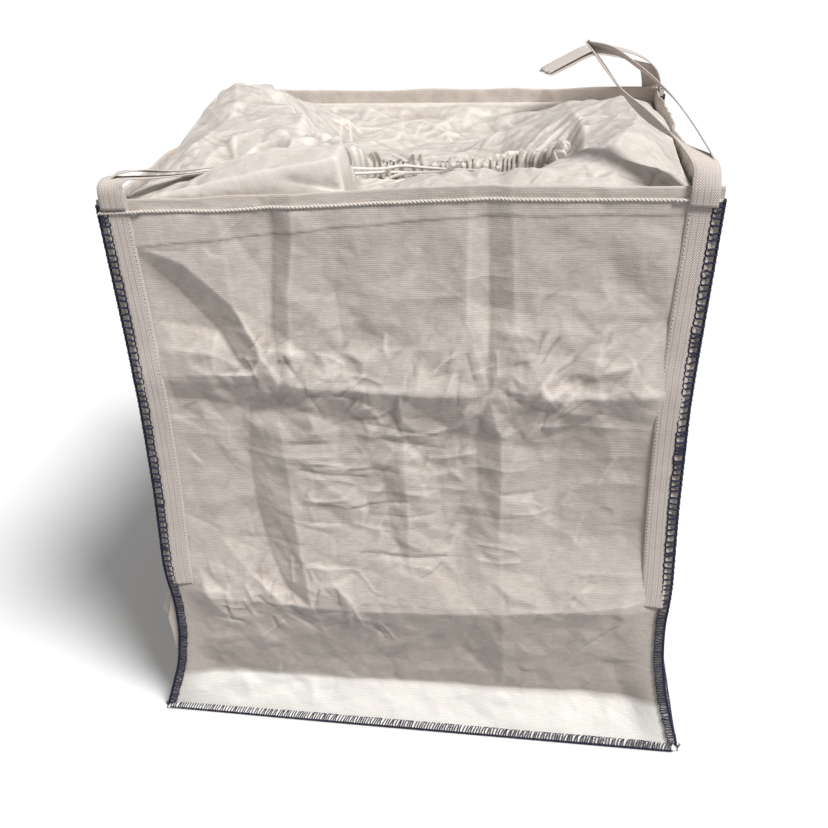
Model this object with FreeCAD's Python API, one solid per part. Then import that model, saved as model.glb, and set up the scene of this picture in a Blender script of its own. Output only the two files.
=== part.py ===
import FreeCAD, Part
import math
import os

# Bulk bag: four woven side panels and a base, sewn with outward corner fins,
# cross-corner webbing lift loops and a gathered duffle top tucked into the mouth.
# Millimetres. Origin at the centre of the base on the floor, +X right, +Y back, +Z up.

V = FreeCAD.Vector

# Driving dimensions
BAG_HEIGHT = 1000.0
FIN_TIP_X = 450.0
SIDE_FACE_X = 432.0
FRONT_FACE_Y = 450.0
BASE_EDGE_X = 458.0
BASE_EDGE_Y = 465.0
FABRIC = 2.0
LAYER_GAP = 0.5
BASE_GAP = 0.3
HEM_DEPTH = 75.0
HEM_STITCH_Z = 973.0

# Webbing
WEB_WIDTH = 40.0
WEB_THICK = 2.5
WEB_GAP = 0.4
LEG_BOTTOM_Z = 295.0
LEG_TOP_Z = 1001.0
LEG_CENTRE_X = 407.0
LEG_CENTRE_Y = 425.0
FOOT_CENTRE_X = 402.0
FOOT_CENTRE_Y = 420.0

# Lift loops
HINGE_Z = 1005.0
LOOP_LENGTH = 280.0
FOOT_HALF_SPAN = 22.3
FOOT_WIDTH = 20.0
FOOT_THICK = 5.0
ARCH_RADIUS = 38.0
TWIST_LENGTH = 70.0
SPREAD_LENGTH = 120.0
LEAN = {"front_left": 80.0, "front_right": 55.0, "back_left": 80.0, "back_right": 70.0}
CORNER_SIGNS = {
    "front_left": (-1, -1),
    "front_right": (1, -1),
    "back_left": (-1, 1),
    "back_right": (1, 1),
}

# Overlock seam threads
THREAD = 1.5
THREAD_HEIGHT = 2.6
THREAD_EDGE = 2.2
RUNG_LENGTH = 16.0
CORNER_PITCH = 10.0
BASE_PITCH = 8.0
BASE_RUNG_LENGTH = 13.0
BASE_THREAD_END = 3.0
CORNER_THREAD_BOTTOM = 8.0

# Hem chain stitch
STITCH_HEIGHT = 5.0
STITCH_PROUD = 1.8
STITCH_PITCH = 8.0
STITCH_BEAD = 6.0
STITCH_HALF_X = 372.0
STITCH_HALF_Y = 390.0

# Sewing lines on the webbing legs
SEW_WIDTH = 1.4
SEW_PROUD = 0.7
SEW_OFFSET = 16.0

# Duffle top
NECK_X = 45.0
NECK_Y = -145.0
NECK_STRAIGHT = 120.0
NECK_RADIUS = 70.0
NECK_BOTTOM_Z = 925.0
NECK_HEIGHT = 30.0
NECK_WALL = 18.0
CHANNEL_INSET = 4.0
CHANNEL_WIDTH = 10.0
CHANNEL_BOTTOM = 8.0
CHANNEL_HEIGHT = 12.0
SLOT_LEFT_X = -104.0
SLOT_RIGHT_X = 68.0
SLOT_SWAY = 2.0
DUFFLE_RIM_X = 427.0
DUFFLE_RIM_Y = 445.0
DUFFLE_RIM_Z = 970.0
DUFFLE_NECK_Z = 946.0
DUFFLE_THICK = 1.2
DUFFLE_NECK_GAP = 2.0
MITRE_SHARE = 0.997
CROWN = {"front": 42.0, "back": 26.0, "left": 100.0, "right": 62.0}
CORNER_CROWN = 12.0
DUFFLE_COLUMNS = 12
DUFFLE_ROWS = 8

# Cords
CORD_DIAMETER = 5.0

os.makedirs("parts", exist_ok=True)


def block(x0, x1, y0, y1, z0, z1):
    """Axis-aligned block between two corners given in any order."""
    low = V(min(x0, x1), min(y0, y1), min(z0, z1))
    return Part.makeBox(abs(x1 - x0), abs(y1 - y0), abs(z1 - z0), low)


def joined(shapes):
    """One clean solid from touching pieces."""
    whole = shapes[0].fuse(shapes[1:])
    return whole.removeSplitter()


def write(node, shape):
    """Write one node and report its state."""
    shape.exportStep("parts/" + node + ".step")
    print(node, shape.isValid(), round(shape.Volume / 1000.0, 2), "cm3")


# ---------------------------------------------------------------- fabric panels

def end_panel(side):
    """Front (-1) or back (+1) panel, with its corner fins, hem and base fin."""
    outer = side * FRONT_FACE_Y
    inner = side * (FRONT_FACE_Y - FABRIC)
    hem = side * (FRONT_FACE_Y - 2 * FABRIC)
    foot = FABRIC + BASE_GAP
    wall = block(-FIN_TIP_X, FIN_TIP_X, outer, inner, foot, BAG_HEIGHT)
    hem_x = SIDE_FACE_X - 2 * FABRIC - WEB_GAP
    fold = block(-hem_x, hem_x, inner, hem, BAG_HEIGHT - HEM_DEPTH, BAG_HEIGHT)
    fin = block(-BASE_EDGE_X, BASE_EDGE_X, side * BASE_EDGE_Y, inner, foot, foot + FABRIC)
    return joined([wall, fold, fin])


def side_panel(side):
    """Left (-1) or right (+1) panel, with flanges behind the corner fins."""
    outer = side * SIDE_FACE_X
    inner = side * (SIDE_FACE_X - FABRIC)
    hem = side * (SIDE_FACE_X - 2 * FABRIC)
    foot = FABRIC + BASE_GAP
    reach = FRONT_FACE_Y - FABRIC - LAYER_GAP
    pieces = [block(outer, inner, -reach, reach, foot, BAG_HEIGHT)]
    hem_y = reach - FABRIC + 0.1
    pieces.append(block(inner, hem, -hem_y, hem_y, BAG_HEIGHT - HEM_DEPTH, BAG_HEIGHT))
    for end in (-1, 1):
        tip = side * FIN_TIP_X
        pieces.append(block(tip, inner, end * reach, end * (reach - FABRIC), foot, BAG_HEIGHT))
    pieces.append(block(side * BASE_EDGE_X, inner, -reach, reach, foot, foot + FABRIC))
    return joined(pieces)


def base_panel():
    """Flat base sheet under all four base fins."""
    return block(-BASE_EDGE_X, BASE_EDGE_X, -BASE_EDGE_Y, BASE_EDGE_Y, 0, FABRIC)


# ---------------------------------------------------------------- seam threads

def corner_thread(sx, sy):
    """Overlock thread wrapped round one corner fin, as a ladder of rungs."""
    fin_in = sy * (FRONT_FACE_Y - 2 * FABRIC - LAYER_GAP)
    out_face = sy * (FRONT_FACE_Y + BASE_GAP)
    in_face = fin_in - sy * BASE_GAP
    edge = sx * (FIN_TIP_X + BASE_GAP)
    top = BAG_HEIGHT - LAYER_GAP
    pieces = [block(edge, edge + sx * THREAD_EDGE, out_face + sy * THREAD, in_face - sy * THREAD,
                    CORNER_THREAD_BOTTOM, top)]
    root = edge - sx * RUNG_LENGTH
    count = int((top - CORNER_THREAD_BOTTOM - THREAD_HEIGHT) / CORNER_PITCH) + 1
    for index in range(count):
        low = CORNER_THREAD_BOTTOM + index * CORNER_PITCH
        high = low + THREAD_HEIGHT
        pieces.append(block(edge, root, out_face, out_face + sy * THREAD, low, high))
        pieces.append(block(edge, root + sx * THREAD, in_face, in_face - sy * THREAD, low, high))
    return joined(pieces)


def base_thread(along_x, side):
    """Overlock thread round the edge of one base fin."""
    edge_at = BASE_EDGE_Y if along_x else BASE_EDGE_X
    half = (BASE_EDGE_X if along_x else FRONT_FACE_Y - 2 * FABRIC) - BASE_THREAD_END
    top = 2 * FABRIC + 2 * BASE_GAP
    edge = side * (edge_at + BASE_GAP)
    tip = edge + side * THREAD_EDGE
    root = edge - side * BASE_RUNG_LENGTH
    spans = [(-half, half, edge, tip, 0.2, top + THREAD)]
    count = int((2 * half - THREAD_HEIGHT) / BASE_PITCH) + 1
    for index in range(count):
        start = -half + index * BASE_PITCH
        spans.append((start, start + THREAD_HEIGHT, root, edge, top, top + THREAD))
    pieces = []
    for a0, a1, b0, b1, z0, z1 in spans:
        if along_x:
            pieces.append(block(a0, a1, b0, b1, z0, z1))
        else:
            pieces.append(block(b0, b1, a0, a1, z0, z1))
    return joined(pieces)


def hem_stitch(along_x, side):
    """Chain stitch that holds the hem and the duffle top, as beads on a line."""
    face = side * ((FRONT_FACE_Y if along_x else SIDE_FACE_X) + BASE_GAP)
    out = face + side * STITCH_PROUD
    line_out = face + side * STITCH_PROUD / 2
    half = STITCH_HALF_X if along_x else STITCH_HALF_Y
    low = HEM_STITCH_Z - STITCH_HEIGHT / 2
    line_low = HEM_STITCH_Z - STITCH_HEIGHT / 4
    spans = [(-half, half, face, line_out, line_low, line_low + STITCH_HEIGHT / 2)]
    count = int((2 * half - STITCH_BEAD) / STITCH_PITCH) + 1
    for index in range(count):
        start = -half + index * STITCH_PITCH
        spans.append((start, start + STITCH_BEAD, face, out, low, low + STITCH_HEIGHT))
    pieces = []
    for a0, a1, b0, b1, z0, z1 in spans:
        if along_x:
            pieces.append(block(a0, a1, b0, b1, z0, z1))
        else:
            pieces.append(block(b0, b1, a0, a1, z0, z1))
    return joined(pieces)


# ---------------------------------------------------------------- webbing

def end_leg(sx, sy):
    """Sewn webbing leg on the front or back panel."""
    face = sy * (FRONT_FACE_Y + WEB_GAP)
    low_x = sx * LEG_CENTRE_X - WEB_WIDTH / 2
    return block(low_x, low_x + WEB_WIDTH, face, face + sy * WEB_THICK, LEG_BOTTOM_Z, LEG_TOP_Z)


def side_leg(sx, sy):
    """Sewn webbing leg on the left or right panel."""
    face = sx * (SIDE_FACE_X + WEB_GAP)
    low_y = sy * LEG_CENTRE_Y - WEB_WIDTH / 2
    return block(face, face + sx * WEB_THICK, low_y, low_y + WEB_WIDTH, LEG_BOTTOM_Z, LEG_TOP_Z)


def leg_sewing():
    """Lines of sewing down both edges of every webbing leg."""
    lines = []
    low = LEG_BOTTOM_Z + 6.0
    high = LEG_TOP_Z - 6.0
    for sx, sy in CORNER_SIGNS.values():
        front = sy * (FRONT_FACE_Y + WEB_GAP + WEB_THICK + BASE_GAP)
        outer = sx * (SIDE_FACE_X + WEB_GAP + WEB_THICK + BASE_GAP)
        for offset in (-SEW_OFFSET, SEW_OFFSET):
            x = sx * LEG_CENTRE_X + offset
            lines.append(block(x, x + SEW_WIDTH, front, front + sy * SEW_PROUD, low, high))
            y = sy * LEG_CENTRE_Y + offset
            if abs(y) < FRONT_FACE_Y - RUNG_LENGTH:
                lines.append(block(outer, outer + sx * SEW_PROUD, y, y + SEW_WIDTH, low, high))
    return Part.makeCompound(lines)


def smooth(share):
    """Smooth step between 0 and 1."""
    share = max(0.0, min(1.0, share))
    return share * share * (3.0 - 2.0 * share)


def loop_path():
    """Half of the strap's centre line as (sideways, up, tangent angle from up)."""
    stations = []
    rise = LOOP_LENGTH - ARCH_RADIUS
    for up in (0.0, 8.0, 16.0, 25.0, 34.0, 43.0, 52.0, 61.0, 70.0, 95.0, 120.0, 180.0, rise):
        sideways = FOOT_HALF_SPAN
        sideways += (ARCH_RADIUS - FOOT_HALF_SPAN) * smooth(up / SPREAD_LENGTH)
        stations.append((sideways, up, 0.0))
    for step in range(1, 6):
        angle = math.radians(step * 90.0 / 6)
        stations.append((ARCH_RADIUS * math.cos(angle), rise + ARCH_RADIUS * math.sin(angle), angle))
    return stations


def loop_section(origin, axes, side, sideways, up, angle):
    """Closed rectangular section of the strap at one station."""
    along, rise, inward = axes
    share = smooth(up / TWIST_LENGTH)
    turn = math.radians(90.0) * share
    half_width = (FOOT_WIDTH + (WEB_WIDTH - FOOT_WIDTH) * share) / 2
    half_thick = (FOOT_THICK + (WEB_THICK - FOOT_THICK) * share) / 2
    centre = origin + along * (side * sideways) + rise * up
    tangent = rise * math.cos(angle) - along * (side * math.sin(angle))
    width = along * math.cos(turn) + inward * (side * math.sin(turn))
    width.normalize()
    normal = tangent.cross(width)
    normal.normalize()
    corners = []
    for a, b in ((-1, -1), (1, -1), (1, 1), (-1, 1)):
        corners.append(centre + width * (a * half_width) + normal * (b * half_thick))
    return corners


def corner_frame(corner):
    """Hinge point on the rim and the strap's own axes at its rest lean."""
    sx, sy = CORNER_SIGNS[corner]
    end_face = FRONT_FACE_Y + WEB_GAP + WEB_THICK / 2
    side_face = SIDE_FACE_X + WEB_GAP + WEB_THICK / 2
    origin = V(sx * (FOOT_CENTRE_X + side_face) / 2, sy * (FOOT_CENTRE_Y + end_face) / 2, HINGE_Z)
    inward = V(-sx, -sy, 0).normalize()
    up = V(0, 0, 1)
    along = up.cross(inward)
    lean = math.radians(LEAN[corner])
    rise = up * math.cos(lean) + inward * math.sin(lean)
    across = inward * math.cos(lean) - up * math.sin(lean)
    return origin, (along, rise, across)


def lift_loop(corner):
    """Free webbing loop between the two legs of one corner."""
    origin, axes = corner_frame(corner)
    sections = []
    half = loop_path()
    for sideways, up, angle in half:
        sections.append(loop_section(origin, axes, 1, sideways, up, angle))
    along, rise, across = axes
    top = origin + rise * LOOP_LENGTH
    crown = []
    for a, b in ((-1, -1), (1, -1), (1, 1), (-1, 1)):
        crown.append(top + across * (a * WEB_WIDTH / 2) + rise * (b * WEB_THICK / 2))
    last = sections[-1]
    crown = min_turn(crown, last)
    sections.append(crown)
    for sideways, up, angle in reversed(half):
        section = loop_section(origin, axes, -1, sideways, up, angle)
        sections.append(min_turn(section, sections[-1]))
    return strap_solid(sections)


def min_turn(section, before):
    """Order a section's corners so that each lies nearest the one before."""
    orders = []
    for flip in (1, -1):
        ring = section[::flip]
        for shift in range(4):
            order = ring[shift:] + ring[:shift]
            cost = sum((order[k] - before[k]).Length for k in range(4))
            orders.append((cost, len(orders), order))
    return min(orders)[2]


def strap_solid(sections):
    """Closed solid with flat triangles through a list of four-corner sections."""
    faces = []
    for before, after in zip(sections[:-1], sections[1:]):
        for k in range(4):
            n = (k + 1) % 4
            faces.append(triangle(before[k], before[n], after[n]))
            faces.append(triangle(before[k], after[n], after[k]))
    for cap in (sections[0], sections[-1]):
        faces.append(triangle(cap[0], cap[1], cap[2]))
        faces.append(triangle(cap[0], cap[2], cap[3]))
    return closed_solid(faces)


def triangle(a, b, c):
    """One flat face."""
    return Part.Face(Part.makePolygon([a, b, c, a]))


def closed_solid(faces):
    """Solid inside a closed set of faces, with outward normals."""
    shell = Part.Shell(faces)
    shell.sewShape()
    solid = Part.Solid(shell)
    if solid.Volume < 0:
        solid.reverse()
    return solid


# ---------------------------------------------------------------- duffle top

def neck_point(side, share, radius):
    """Point on the neck's outline; share runs -1 to 1 along one side's part of it."""
    quarter = math.radians(45.0)
    if side in ("left", "right"):
        sx = 1 if side == "right" else -1
        angle = quarter * share
        return (NECK_X + sx * (NECK_STRAIGHT + radius * math.cos(angle)),
                NECK_Y + radius * math.sin(angle))
    sy = 1 if side == "back" else -1
    arc = radius * quarter
    run = share * (NECK_STRAIGHT + arc)
    if abs(run) <= NECK_STRAIGHT:
        return (NECK_X + run, NECK_Y + sy * radius)
    angle = (abs(run) - NECK_STRAIGHT) / radius
    sx = 1 if run > 0 else -1
    return (NECK_X + sx * (NECK_STRAIGHT + radius * math.sin(angle)),
            NECK_Y + sy * radius * math.cos(angle))


def duffle_point(side, share, depth):
    """Point on the duffle fabric; depth runs 0 at the rim to 1 at the neck."""
    if side in ("left", "right"):
        sx = 1 if side == "right" else -1
        rim = (sx * DUFFLE_RIM_X, share * DUFFLE_RIM_Y)
    else:
        sy = 1 if side == "back" else -1
        rim = (share * DUFFLE_RIM_X, sy * DUFFLE_RIM_Y)
    neck = neck_point(side, share, NECK_RADIUS + DUFFLE_NECK_GAP)
    x = rim[0] + (neck[0] - rim[0]) * depth
    y = rim[1] + (neck[1] - rim[1]) * depth
    swell = math.cos(math.pi / 2 * share) ** 2
    height = CORNER_CROWN + (CROWN[side] - CORNER_CROWN) * swell
    z = DUFFLE_RIM_Z + (DUFFLE_NECK_Z - DUFFLE_RIM_Z) * depth
    z += height * math.sin(math.pi * depth ** 0.7)
    return V(x, y, z)


def duffle_panel(side):
    """One thin panel of the duffle top, from the hem stitch to the neck."""
    top = []
    for row in range(DUFFLE_ROWS + 1):
        line = []
        for column in range(DUFFLE_COLUMNS + 1):
            share = (2.0 * column / DUFFLE_COLUMNS - 1.0) * MITRE_SHARE
            line.append(duffle_point(side, share, row / DUFFLE_ROWS))
        top.append(line)
    drop = V(0, 0, -DUFFLE_THICK)
    faces = []
    for row in range(DUFFLE_ROWS):
        for column in range(DUFFLE_COLUMNS):
            a = top[row][column]
            b = top[row][column + 1]
            c = top[row + 1][column + 1]
            d = top[row + 1][column]
            faces.append(triangle(a, b, c))
            faces.append(triangle(a, c, d))
            faces.append(triangle(a + drop, b + drop, c + drop))
            faces.append(triangle(a + drop, c + drop, d + drop))
    border = top[0] + [line[-1] for line in top[1:]]
    border += top[-1][-2::-1] + [line[0] for line in top[-2:0:-1]]
    for here, after in zip(border, border[1:] + border[:1]):
        faces.append(triangle(here, after, after + drop))
        faces.append(triangle(here, after + drop, here + drop))
    return closed_solid(faces)


def neck_prism(inset, low, height):
    """Upright prism on the neck's outline, inset by the given distance."""
    radius = NECK_RADIUS - inset
    body = block(NECK_X - NECK_STRAIGHT, NECK_X + NECK_STRAIGHT,
                 NECK_Y - radius, NECK_Y + radius, low, low + height)
    ends = []
    for side in (-1, 1):
        centre = V(NECK_X + side * NECK_STRAIGHT, NECK_Y, low)
        ends.append(Part.makeCylinder(radius, height, centre))
    return joined([body] + ends)


def duffle_hem():
    """Gathered hem of the duffle top: a ring with a channel for the drawcord."""
    ring = neck_prism(0, NECK_BOTTOM_Z, NECK_HEIGHT)
    ring = ring.cut(neck_prism(NECK_WALL, NECK_BOTTOM_Z - 1, NECK_HEIGHT + 2))
    low = NECK_BOTTOM_Z + CHANNEL_BOTTOM
    channel = neck_prism(CHANNEL_INSET, low, CHANNEL_HEIGHT)
    channel = channel.cut(neck_prism(CHANNEL_INSET + CHANNEL_WIDTH, low - 1, CHANNEL_HEIGHT + 2))
    front = NECK_Y - NECK_RADIUS + CHANNEL_INSET
    slot = block(SLOT_LEFT_X, SLOT_RIGHT_X, front, front + CHANNEL_WIDTH + SLOT_SWAY,
                 low + 1, NECK_BOTTOM_Z + NECK_HEIGHT + 1)
    return ring.cut(channel).cut(slot)


# ---------------------------------------------------------------- cords

def cord_tube(points, node):
    """Round cord along straight runs joined by tangent arcs."""
    edges = []
    start = points[0]
    tightest = 1e9
    for before, here, after in zip(points[:-2], points[1:-1], points[2:]):
        back = (before - here)
        ahead = (after - here)
        shorter = min(back.Length, ahead.Length)
        back.normalize()
        ahead.normalize()
        turn = math.pi - back.getAngle(ahead)
        radius = 0.45 * shorter / math.tan(turn / 2)
        tightest = min(tightest, radius)
        reach = 0.45 * shorter
        first = here + back * reach
        last = here + ahead * reach
        bisector = (back + ahead).normalize()
        apex = here + bisector * (radius / math.cos(turn / 2) - radius)
        edges.append(Part.LineSegment(start, first).toShape())
        edges.append(Part.Arc(first, apex, last).toShape())
        start = last
    edges.append(Part.LineSegment(start, points[-1]).toShape())
    wire = Part.Wire(edges)
    direction = (points[1] - points[0]).normalize()
    profile = Part.Wire([Part.makeCircle(CORD_DIAMETER / 2, points[0], direction)])
    tube = wire.makePipeShell([profile], True, True)
    expected = math.pi * CORD_DIAMETER ** 2 / 4 * wire.Length
    print(node, "length", round(wire.Length, 1), "tightest", round(tightest, 1),
          "volume ratio", round(tube.Volume / expected, 4))
    return tube


def channel_z():
    """Height of the drawcord's centre inside its channel."""
    return NECK_BOTTOM_Z + CHANNEL_BOTTOM + CHANNEL_HEIGHT / 2


def end_turn(side):
    """Route points round one end of the channel; side is 1 on the right."""
    mid = NECK_RADIUS - CHANNEL_INSET - CHANNEL_WIDTH / 2
    centre_x = NECK_X + side * NECK_STRAIGHT
    start = -75.0 if side > 0 else 105.0
    points = []
    for step in range(6):
        angle = math.radians(start + step * 30.0)
        points.append(V(centre_x + mid * math.cos(angle), NECK_Y + mid * math.sin(angle), channel_z()))
    return points


def near_neck(rows):
    """Route points from rows of (x, distance in front of the neck's centre, z)."""
    return [V(x, NECK_Y - forward, z) for x, forward, z in rows]


def drawcord_route():
    """Drawcord: left end, once round the channel, right end laid over the front."""
    mid = NECK_RADIUS - CHANNEL_INSET - CHANNEL_WIDTH / 2
    inside = channel_z()
    route = near_neck([(-96, 192, 1003), (-112, 150, 989), (-108, 108, 974), (-88, 74, 967), (-50, 58, 966),
                       (-8, 54, 963), (30, mid - 2, 955), (72, mid, inside), (122, mid + 1, inside)])
    route += end_turn(1)
    route += near_neck([(110, -mid - 1, inside), (48, 1 - mid, inside), (-14, -mid - 1, inside)])
    route += end_turn(-1)
    route += near_neck([(-58, mid - 0.5, 952), (-24, mid + 4, 966), (14, mid + 20, 970), (44, mid + 50, 977),
                        (60, mid + 92, 993), (84, mid + 122, 1006)])
    return route


def tie_cord_route():
    """Loose tie cord in one open bight over the left end and the front of the neck."""
    return near_neck([
        (-150, 162, 1002), (-128, 132, 991), (-92, 120, 985), (-56, 80, 975),
        (-32, 42, 973), (4, 18, 964), (42, 22, 962), (84, 46, 966),
        (120, 82, 973), (142, 126, 985), (136, 172, 1000),
    ])


# ---------------------------------------------------------------- assembly

def main():
    write("front_panel", end_panel(-1))
    write("back_panel", end_panel(1))
    write("left_panel", side_panel(-1))
    write("right_panel", side_panel(1))
    write("base_panel", base_panel())
    for corner, (sx, sy) in CORNER_SIGNS.items():
        write("corner_thread_" + corner, corner_thread(sx, sy))
        write("end_leg_" + corner, end_leg(sx, sy))
        write("side_leg_" + corner, side_leg(sx, sy))
        write("lift_loop_" + corner, lift_loop(corner))
    for name, along_x, side in (("front", True, -1), ("back", True, 1),
                                ("left", False, -1), ("right", False, 1)):
        write("base_thread_" + name, base_thread(along_x, side))
        write("hem_stitch_" + name, hem_stitch(along_x, side))
        write("duffle_" + name, duffle_panel(name))
    write("leg_sewing", leg_sewing())
    write("duffle_hem", duffle_hem())
    write("drawcord", cord_tube(drawcord_route(), "drawcord"))
    write("tie_cord", cord_tube(tie_cord_route(), "tie_cord"))


main()
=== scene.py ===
import bpy
import math
import numpy as np
from mathutils import Matrix, Vector
from mathutils.geometry import delaunay_2d_cdt


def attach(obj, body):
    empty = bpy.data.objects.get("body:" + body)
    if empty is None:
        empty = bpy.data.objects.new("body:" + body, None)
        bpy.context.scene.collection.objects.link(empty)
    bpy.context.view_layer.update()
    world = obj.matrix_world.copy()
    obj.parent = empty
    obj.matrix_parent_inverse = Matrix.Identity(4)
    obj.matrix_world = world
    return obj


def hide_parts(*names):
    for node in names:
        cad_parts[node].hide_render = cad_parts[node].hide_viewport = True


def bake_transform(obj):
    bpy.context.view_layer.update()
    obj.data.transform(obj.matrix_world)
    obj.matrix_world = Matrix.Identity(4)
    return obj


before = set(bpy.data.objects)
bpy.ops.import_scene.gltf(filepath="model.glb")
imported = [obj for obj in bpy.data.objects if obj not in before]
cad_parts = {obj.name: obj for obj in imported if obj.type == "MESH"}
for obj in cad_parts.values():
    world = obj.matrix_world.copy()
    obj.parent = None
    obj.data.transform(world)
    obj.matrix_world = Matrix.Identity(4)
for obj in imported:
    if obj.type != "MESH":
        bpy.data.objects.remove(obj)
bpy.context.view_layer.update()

TOP = 1.0
HEM_LINE = 0.9735
FIN = 0.017
FRONT_Y = 0.4490
NECK = (0.045, -0.145)
NECK_STRAIGHT = 0.120
NECK_RADIUS = 0.070
RIM_X, RIM_Y, RIM_Z = 0.427, 0.4445, 0.9700
NECK_Z = 0.946
WEB, WEB_THICK = 0.040, 0.0023
LEG_FOOT, LEG_TOP, LEG_ROW = 0.295, 0.9985, 0.006
LEG_INSET, LEG_PROUD = {"end": 0.0285, "side": 0.0235}, {"end": 0.0020, "side": 0.0022}
LEG_SEAM, STITCH_PITCH, STITCH_HALF = 0.0160, 0.0062, 0.0021
ROPE_RADIUS, ROPE_PITCH = 0.0022, 0.0115
CORD_DIAMETER = 0.005
LOOP_ROOT = (0.417825, 0.435825, 1.005)
LOOP_BEND = (-0.004, 0.045)     # where a loop starts and ends its bend, along it from its root
HEM_THICK = 0.004
FOOT_ROWS = 5
RIM_TURN = ((0.0008, 0.0012), (0.002, 0.0016), (0.0032, 0.0008))    # inward and up, over the rim
MM = 0.001
STEP = 3 * MM                   # spacing of the height maps
RIM_BOX = (-0.46, 0.46, -0.46, 0.46)
SIDES = (("front", True, -1), ("back", True, 1), ("left", False, -1), ("right", False, 1))
CORNERS = {"front_left": (-1, -1), "front_right": (1, -1), "back_left": (-1, 1), "back_right": (1, 1)}
LEAN = {"front_left": 80.0, "front_right": 55.0, "back_left": 80.0, "back_right": 70.0}


# ---- camera
def make_camera():
    """Camera at the photograph's viewing angle: azimuth, elevation and a slight roll."""
    azimuth, elevation, roll = math.radians(7.5), math.radians(25.8), math.radians(-1.6)
    turn = (Matrix.Rotation(azimuth, 4, "Z") @ Matrix.Rotation(math.pi / 2 - elevation, 4, "X")
            @ Matrix.Rotation(roll, 4, "Z"))
    data = bpy.data.cameras.new("camera")
    data.sensor_width, data.lens = 36.0, 45.652
    camera = bpy.data.objects.new("camera", data)
    camera.matrix_world = Matrix.Translation((0.208, -1.922, 1.36)) @ turn
    bpy.context.scene.collection.objects.link(camera)
    bpy.context.scene.camera = camera


make_camera()


# ---- numbers
def smooth(a, b, x):
    """0 at a, 1 at b, with an eased rise between them."""
    t = np.clip((x - a) / (b - a), 0.0, 1.0)
    return t * t * (3.0 - 2.0 * t)


def noise(x, y, scale, seed):
    """Smooth value noise from -1 to 1."""
    table = np.random.default_rng(seed).random((64, 64))
    gx, gy = x / scale + 31.7, y / scale + 17.3
    ix, iy = np.floor(gx).astype(int), np.floor(gy).astype(int)
    fx, fy = gx - ix, gy - iy
    fx, fy = fx * fx * (3 - 2 * fx), fy * fy * (3 - 2 * fy)
    a, b = table[ix % 64, iy % 64], table[(ix + 1) % 64, iy % 64]
    c, d = table[ix % 64, (iy + 1) % 64], table[(ix + 1) % 64, (iy + 1) % 64]
    return 2.0 * ((a * (1 - fx) + b * fx) * (1 - fy) + (c * (1 - fx) + d * fx) * fy) - 1.0


def folds(x, y, seed, count, wavelength, warp):
    """Sharp-edged crumple, about -1 to 1, from bent triangle waves."""
    rng = np.random.default_rng(seed)
    total = np.zeros_like(x)
    for k in range(count):
        a, size = rng.uniform(0, math.pi), wavelength * rng.uniform(0.6, 1.5)
        phase = (x * math.cos(a) + y * math.sin(a)) / size + rng.random()
        phase = phase + warp * noise(x, y, wavelength * 1.4, seed + k)
        wave = 1.0 - 4.0 * np.abs(phase - np.floor(phase) - 0.5)
        total += wave * (0.5 + 0.5 * noise(x, y, wavelength * 2.0, seed + 50 + k)) * size / wavelength
    return total / math.sqrt(count)


def crease(x, z, points, height, width, fade=0.04):
    """A ridge (or valley) with a sharp crest along a polyline of (x, z) points."""
    total = np.zeros_like(x)
    for (x0, z0), (x1, z1) in zip(points[:-1], points[1:]):
        dx, dz = x1 - x0, z1 - z0
        length = math.hypot(dx, dz)
        t = ((x - x0) * dx + (z - z0) * dz) / length
        side = np.abs((x - x0) * dz - (z - z0) * dx) / length
        over = np.maximum(0.0, np.maximum(-t, t - length))
        d = np.hypot(side, over * 0.6)
        shape = height * np.exp(-d / width) * np.exp(-(over / fade) ** 2)
        total = np.where(np.abs(shape) > np.abs(total), shape, total)
    return total


def random_creases(x, z, seed, count, area, length, angle, spread, height, width):
    """Short seeded creases inside area = (x0, x1, z0, z1)."""
    rng = np.random.default_rng(seed)
    total = np.zeros_like(x)
    for _ in range(count):
        cx, cz = rng.uniform(area[0], area[1]), rng.uniform(area[2], area[3])
        a = angle + rng.uniform(-spread, spread)
        half = length * rng.uniform(0.5, 1.2) / 2
        ends = [(cx - half * math.cos(a), cz - half * math.sin(a)), (cx, cz + rng.uniform(-.004, .004)),
                (cx + half * math.cos(a), cz + half * math.sin(a))]
        total += crease(x, z, ends, height * rng.uniform(-1.0, 1.0), width * rng.uniform(0.6, 1.4), 0.015)
    return total


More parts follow.
